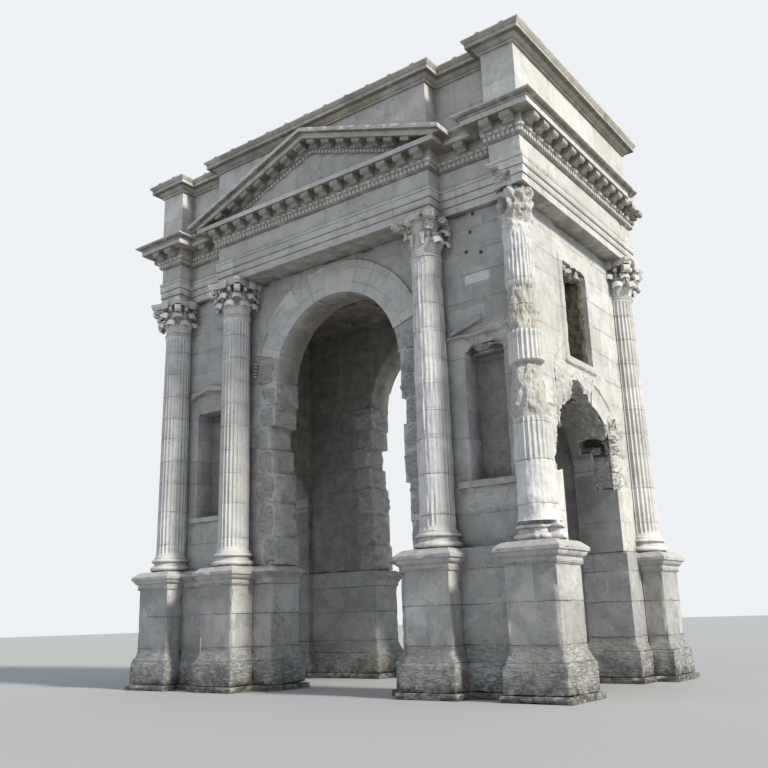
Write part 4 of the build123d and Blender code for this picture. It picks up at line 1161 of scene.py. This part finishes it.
# Stone of the eaves and pediments: the upper stone with stronger painted shade on faces that look
# down and in hollows.
eaves_finish = stone_finish(
    "sooty_eaves_stone", *UPPER_TONES, block_length=2.1, relief=0.35, joint_depth=0.35,
    hollow_shade=1.0, scabs=0.2, lines=(10.365, 10.455, 10.825, 10.862), underside_shade=0.93,
)
bracket_finish = stone_finish(
    "crusted_bracket_stone", (0.46, 0.435, 0.39, 1), (0.38, 0.345, 0.295, 1),
    (0.25, 0.238, 0.215, 1), relief=0.6, hollow_shade=1.0, underside_shade=0.8,
)
UPPER_STONE = {
    "architrave": upper_finish, "frieze": upper_finish, "main_cornice": eaves_finish,
    "pediment_front": eaves_finish, "pediment_rear": eaves_finish, "attic": upper_finish,
    "attic_cornice": cornice_finish,
}
for seed, (name, made) in enumerate(UPPER_STONE.items(), 50):
    breaks = CORNER_BREAKS.get(name, ())
    worn_stone(name, made, "limestone", 0.15, 0.005, 0.0015, seed, breaks)

# The lines of the entablature's faces, the cornice's reaches, and the rakes of the pediments.
LINE_X, LINE_Y, CENTRE_X, RECESS_X, RECESS_Y = 5.215, 2.825, 3.105, 4.525, 2.431
BED_OUT, CORONA_OUT, SCROLL_PITCH, SCROLL_TOP = 0.11, 0.39, 0.43, 10.71
RAKE_FOOT, RAKE_TOP, RAKE_LOW, ATTIC_LOW = 3.7, 12.26, 10.825, 10.93
RAKE_TURN = atan2(RAKE_TOP - ATTIC_LOW, RAKE_FOOT)


def side_view_block(name, outline, half_width):
    """A small piece of one outline (out, up), as wide as stated, that looks to +Y."""
    bm = bmesh.new()
    sides = (-half_width, half_width)
    ring_surface(bm, [[Vector((half, out, up)) for out, up in outline] for half in sides])
    bmesh.ops.recalc_face_normals(bm, faces=bm.faces)
    mesh = bpy.data.meshes.new(name)
    bm.to_mesh(mesh)
    bm.free()
    return bpy.data.objects.new(name, mesh)


def straight_rows(pitch, out, level, tuck):
    """Places (x, y, z, tilt, turn) along every straight stretch of the entablature."""
    rows = [
        ((-CENTRE_X - out, CENTRE_X + out), LINE_Y, (0, pi)),
        ((CENTRE_X + tuck, RECESS_X - tuck), RECESS_Y, (0, pi)),
        ((-RECESS_X + tuck, -CENTRE_X - tuck), RECESS_Y, (0, pi)),
        ((RECESS_X - out, LINE_X + out), LINE_Y, (0, pi)),
        ((-LINE_X - out, -RECESS_X + out), LINE_Y, (0, pi)),
        ((-LINE_Y - out, LINE_Y + out), LINE_X, (pi / 2, -pi / 2)),
    ]
    places = []
    for (start, end), face, turns in rows:
        count = max(1, round((end - start) / pitch))
        for index in range(count):
            along = start + (end - start) * (index + 0.5) / count
            for turn in turns:
                place = Matrix.Rotation(turn, 3, "Z") @ Vector((along, face, level))
                places.append((*place, 0.0, turn))
    return places


def raking_rows(pitch, reach_depth, depth):
    """The same along the four raking cornices, at a depth below their tops. The reach depth, of
    the pieces' feet, sets where a row meets the level cornice."""
    row = (RAKE_TOP - reach_depth / cos(RAKE_TURN) - RAKE_LOW) / tan(RAKE_TURN)
    count = round(row / cos(RAKE_TURN) / pitch)
    places = []
    for side in (-1, 1):
        for index in range(count):
            x = side * row * (index + 0.5) / count
            level = RAKE_TOP - abs(x) * tan(RAKE_TURN) - depth / cos(RAKE_TURN)
            for turn, flip in ((0, 1), (pi, -1)):
                places.append((x, LINE_Y * flip, level, side * flip * RAKE_TURN, turn))
    return places


def repeat_piece(name, pattern, places, finish, slot, height=1.0):
    """Copies a small piece to every place with a Geometry Nodes tree, as one mesh."""
    points = bpy.data.meshes.new(name)
    points.from_pydata([place[:3] for place in places], [], [])
    turn = points.attributes.new("turn", "FLOAT_VECTOR", "POINT")
    for item, place in zip(turn.data, places):
        item.vector = (0.0, place[3], place[4])
    holder = bpy.data.objects.new(name, points)
    bpy.context.scene.collection.objects.link(holder)
    tree = bpy.data.node_groups.new(name + "_rows", "GeometryNodeTree")
    tree.interface.new_socket("Geometry", in_out="INPUT", socket_type="NodeSocketGeometry")
    wanted = tree.interface.new_socket("Piece", in_out="INPUT", socket_type="NodeSocketObject")
    stretch = tree.interface.new_socket("Height", in_out="INPUT", socket_type="NodeSocketFloat")
    tree.interface.new_socket("Geometry", in_out="OUTPUT", socket_type="NodeSocketGeometry")
    given = node(tree, "NodeGroupInput")
    shape = node(tree, "GeometryNodeObjectInfo", {"Object": given.outputs["Piece"]})
    spin = node(tree, "GeometryNodeInputNamedAttribute", data_type="FLOAT_VECTOR")
    spin.inputs["Name"].default_value = "turn"
    rotation = node(tree, "FunctionNodeEulerToRotation", {"Euler": spin.outputs["Attribute"]})
    scale = node(tree, "ShaderNodeCombineXYZ", {0: 1.0, 1: 1.0, 2: given.outputs["Height"]})
    copies = node(tree, "GeometryNodeInstanceOnPoints", {
        "Points": given.outputs["Geometry"], "Instance": shape.outputs["Geometry"],
        "Rotation": rotation.outputs[0], "Scale": scale.outputs[0],
    })
    real = node(tree, "GeometryNodeRealizeInstances", {"Geometry": copies.outputs[0]})
    painted = node(tree, "GeometryNodeSetMaterial", {
        "Geometry": real.outputs[0], "Material": finish,
    })
    end = node(tree, "NodeGroupOutput")
    tree.links.new(painted.outputs[0], end.inputs[0])
    rows = holder.modifiers.new("rows", "NODES")
    rows.node_group = tree
    rows[wanted.identifier] = pattern
    rows[stretch.identifier] = height
    evaluated = holder.evaluated_get(bpy.context.evaluated_depsgraph_get())
    mesh = bpy.data.meshes.new_from_object(evaluated)
    mesh.name = name
    bpy.data.objects.remove(holder)
    return stand_for(mesh, finish, slot)


def turned_arc(out, up, wide, tall, turns):
    """Points of an outline that turn round a centre."""
    return [(out + wide * cos(turn), up + tall * sin(turn)) for turn in turns]


scroll_outline = [(0.09, 0.0), (0.352, 0.0), (0.36, -0.03)]
scroll_outline += turned_arc(0.298, -0.074, 0.064, 0.06, (0.3, -0.5, -1.2, -1.9, -2.6))
scroll_outline += [(0.236, -0.088), (0.215, -0.1)]
scroll_outline += turned_arc(0.165, -0.118, 0.062, 0.06, (-0.3, -1.0, -1.6, -2.3))
scroll_outline += [(0.09, -0.15)]
scroll_bracket = side_view_block("scroll_bracket", scroll_outline, 0.11)
bracket_places = straight_rows(SCROLL_PITCH, BED_OUT, SCROLL_TOP, CORONA_OUT)
CRUSTED = bracket_finish, "stained_limestone"
repeat_piece("cornice_scrolls", scroll_bracket, bracket_places, *CRUSTED)
rake_places = raking_rows(SCROLL_PITCH, 0.33, 0.2)
repeat_piece("raking_scrolls", scroll_bracket, rake_places, *CRUSTED, 0.78)

DENTIL_PITCH, DENTIL_OUT, DENTIL_LEVEL = 0.105, 0.065, 10.41
EGG_PITCH, EGG_LEVEL = 0.165, 10.5
dentil_outline = [
    (0.04, 0.04), (0.08, 0.043), (0.088, 0.036), (0.088, -0.036), (0.08, -0.043), (0.04, -0.043),
]
dentil = side_view_block("small_dentil", dentil_outline, 0.033)
dentil_places = straight_rows(DENTIL_PITCH, DENTIL_OUT, DENTIL_LEVEL, DENTIL_OUT)
repeat_piece("dentil_rows", dentil, dentil_places, upper_finish, "limestone")
bm = bmesh.new()
oval = Matrix.Translation((0, 0.088, 0.0)) @ Matrix.Diagonal((0.066, 0.05, 0.043, 1))
bmesh.ops.create_icosphere(bm, subdivisions=2, radius=1.0, matrix=oval)
mesh = bpy.data.meshes.new("large_egg")
bm.to_mesh(mesh)
bm.free()
egg = bpy.data.objects.new("large_egg", mesh)
egg_places = straight_rows(EGG_PITCH, BED_OUT, EGG_LEVEL, BED_OUT)
repeat_piece("egg_rows", egg, egg_places, upper_finish, "limestone")
rake_places = raking_rows(DENTIL_PITCH, 0.44, 0.385)
repeat_piece("raking_dentils", dentil, rake_places, upper_finish, "limestone")


# Roof and ceiling
# Thin dark stone slabs lie on the attic cornice, with small upstands where they meet. Inside,
# a flat ceiling of sunk panels closes the crossing.
roof_finish = stone_finish(
    "roof_slab_stone", (0.3, 0.295, 0.285, 1), (0.26, 0.25, 0.23, 1), (0.2, 0.2, 0.195, 1),
    block_length=0.93, relief=0.4, rows=1.17, joint_depth=0.8,
)
worn_stone("roof_covering", roof_finish, "roof_slabs", 0.17, 0.01, 0.003, 60)
STUD_PITCH, STUD_OUT, ROOF_LOW, STUD_TUCK = 0.58, 0.2, 12.685, 0.35
stud_outline = [(0.24, 0.0), (0.3, 0.0), (0.3, 0.03), (0.285, 0.043), (0.255, 0.043), (0.24, 0.03)]
stud = side_view_block("roof_stud", stud_outline, 0.045)
stud_places = straight_rows(STUD_PITCH, STUD_OUT, ROOF_LOW, STUD_TUCK)
repeat_piece("roof_studs", stud, stud_places, roof_finish, "roof_slabs")
worn_stone("ceiling", wall_finish, "limestone", 0.17, 0.02, 0.004, 61)


# Floor and light
# A plain pale floor and soft studio light: an even sky and one broad lamp from the right.
bpy.ops.mesh.primitive_plane_add(size=400)
floor = bpy.context.object
floor.name = "floor"
pale_floor = bpy.data.materials.new("pale_floor")
pale_floor.use_nodes = True
shader = pale_floor.node_tree.nodes["Principled BSDF"]
shader.inputs["Base Color"].default_value = (0.47, 0.47, 0.465, 1)
shader.inputs["Roughness"].default_value = 0.9
floor.data.materials.append(pale_floor)

sky = bpy.data.worlds.new("studio")
bpy.context.scene.world = sky
sky.use_nodes = True
tree = sky.node_tree
tree.nodes["Background"].inputs["Color"].default_value = (0.75, 0.865, 1.0, 1)
tree.nodes["Background"].inputs["Strength"].default_value = 0.53
seen = node(tree, "ShaderNodeBackground", {"Color": (0.86, 0.88, 0.9, 1), "Strength": 1.0})
ray = node(tree, "ShaderNodeLightPath").outputs
mirrored = calc(tree, "MAXIMUM", ray["Is Glossy Ray"], ray["Is Transmission Ray"])
direct = calc(tree, "MAXIMUM", ray["Is Camera Ray"], mirrored)
lighting = tree.nodes["Background"].outputs[0]
both = node(tree, "ShaderNodeMixShader", {0: direct, 1: lighting, 2: seen.outputs[0]})
tree.links.new(both.outputs[0], tree.nodes["World Output"].inputs["Surface"])

lamp = bpy.data.objects.new("key_light", bpy.data.lights.new("key_light", "SUN"))
lamp.data.energy = 3.7
lamp.data.angle = radians(7)
lamp.data.color = (1.0, 0.955, 0.87)
lamp.matrix_world = Vector((0.84, -0.05, 0.54)).to_track_quat("Z", "Y").to_matrix().to_4x4()
bpy.context.scene.collection.objects.link(lamp)


# Camera
# It stands where the photograph was taken from, near the ground and a little to the right.
camera = bpy.data.objects.new("camera", bpy.data.cameras.new("camera"))
bpy.context.scene.collection.objects.link(camera)
bpy.context.scene.camera = camera
camera.data.lens = 40.516
camera.data.sensor_width = 36
camera.data.clip_end = 500
CAMERA_PLACE = (11.737, -16.383, 1.365)
yaw, pitch, tilt = radians(36.181), radians(15.299), radians(-1.720)
ahead = Vector((-sin(yaw) * cos(pitch), cos(yaw) * cos(pitch), sin(pitch)))
right = Vector((cos(yaw), sin(yaw), 0))
up = right.cross(ahead)
side = cos(tilt) * right + sin(tilt) * up
top = -sin(tilt) * right + cos(tilt) * up
stand = Matrix((side, top, -ahead)).transposed().to_4x4()
camera.matrix_world = Matrix.Translation(CAMERA_PLACE) @ stand

bpy.context.scene.view_settings.view_transform = "Standard"
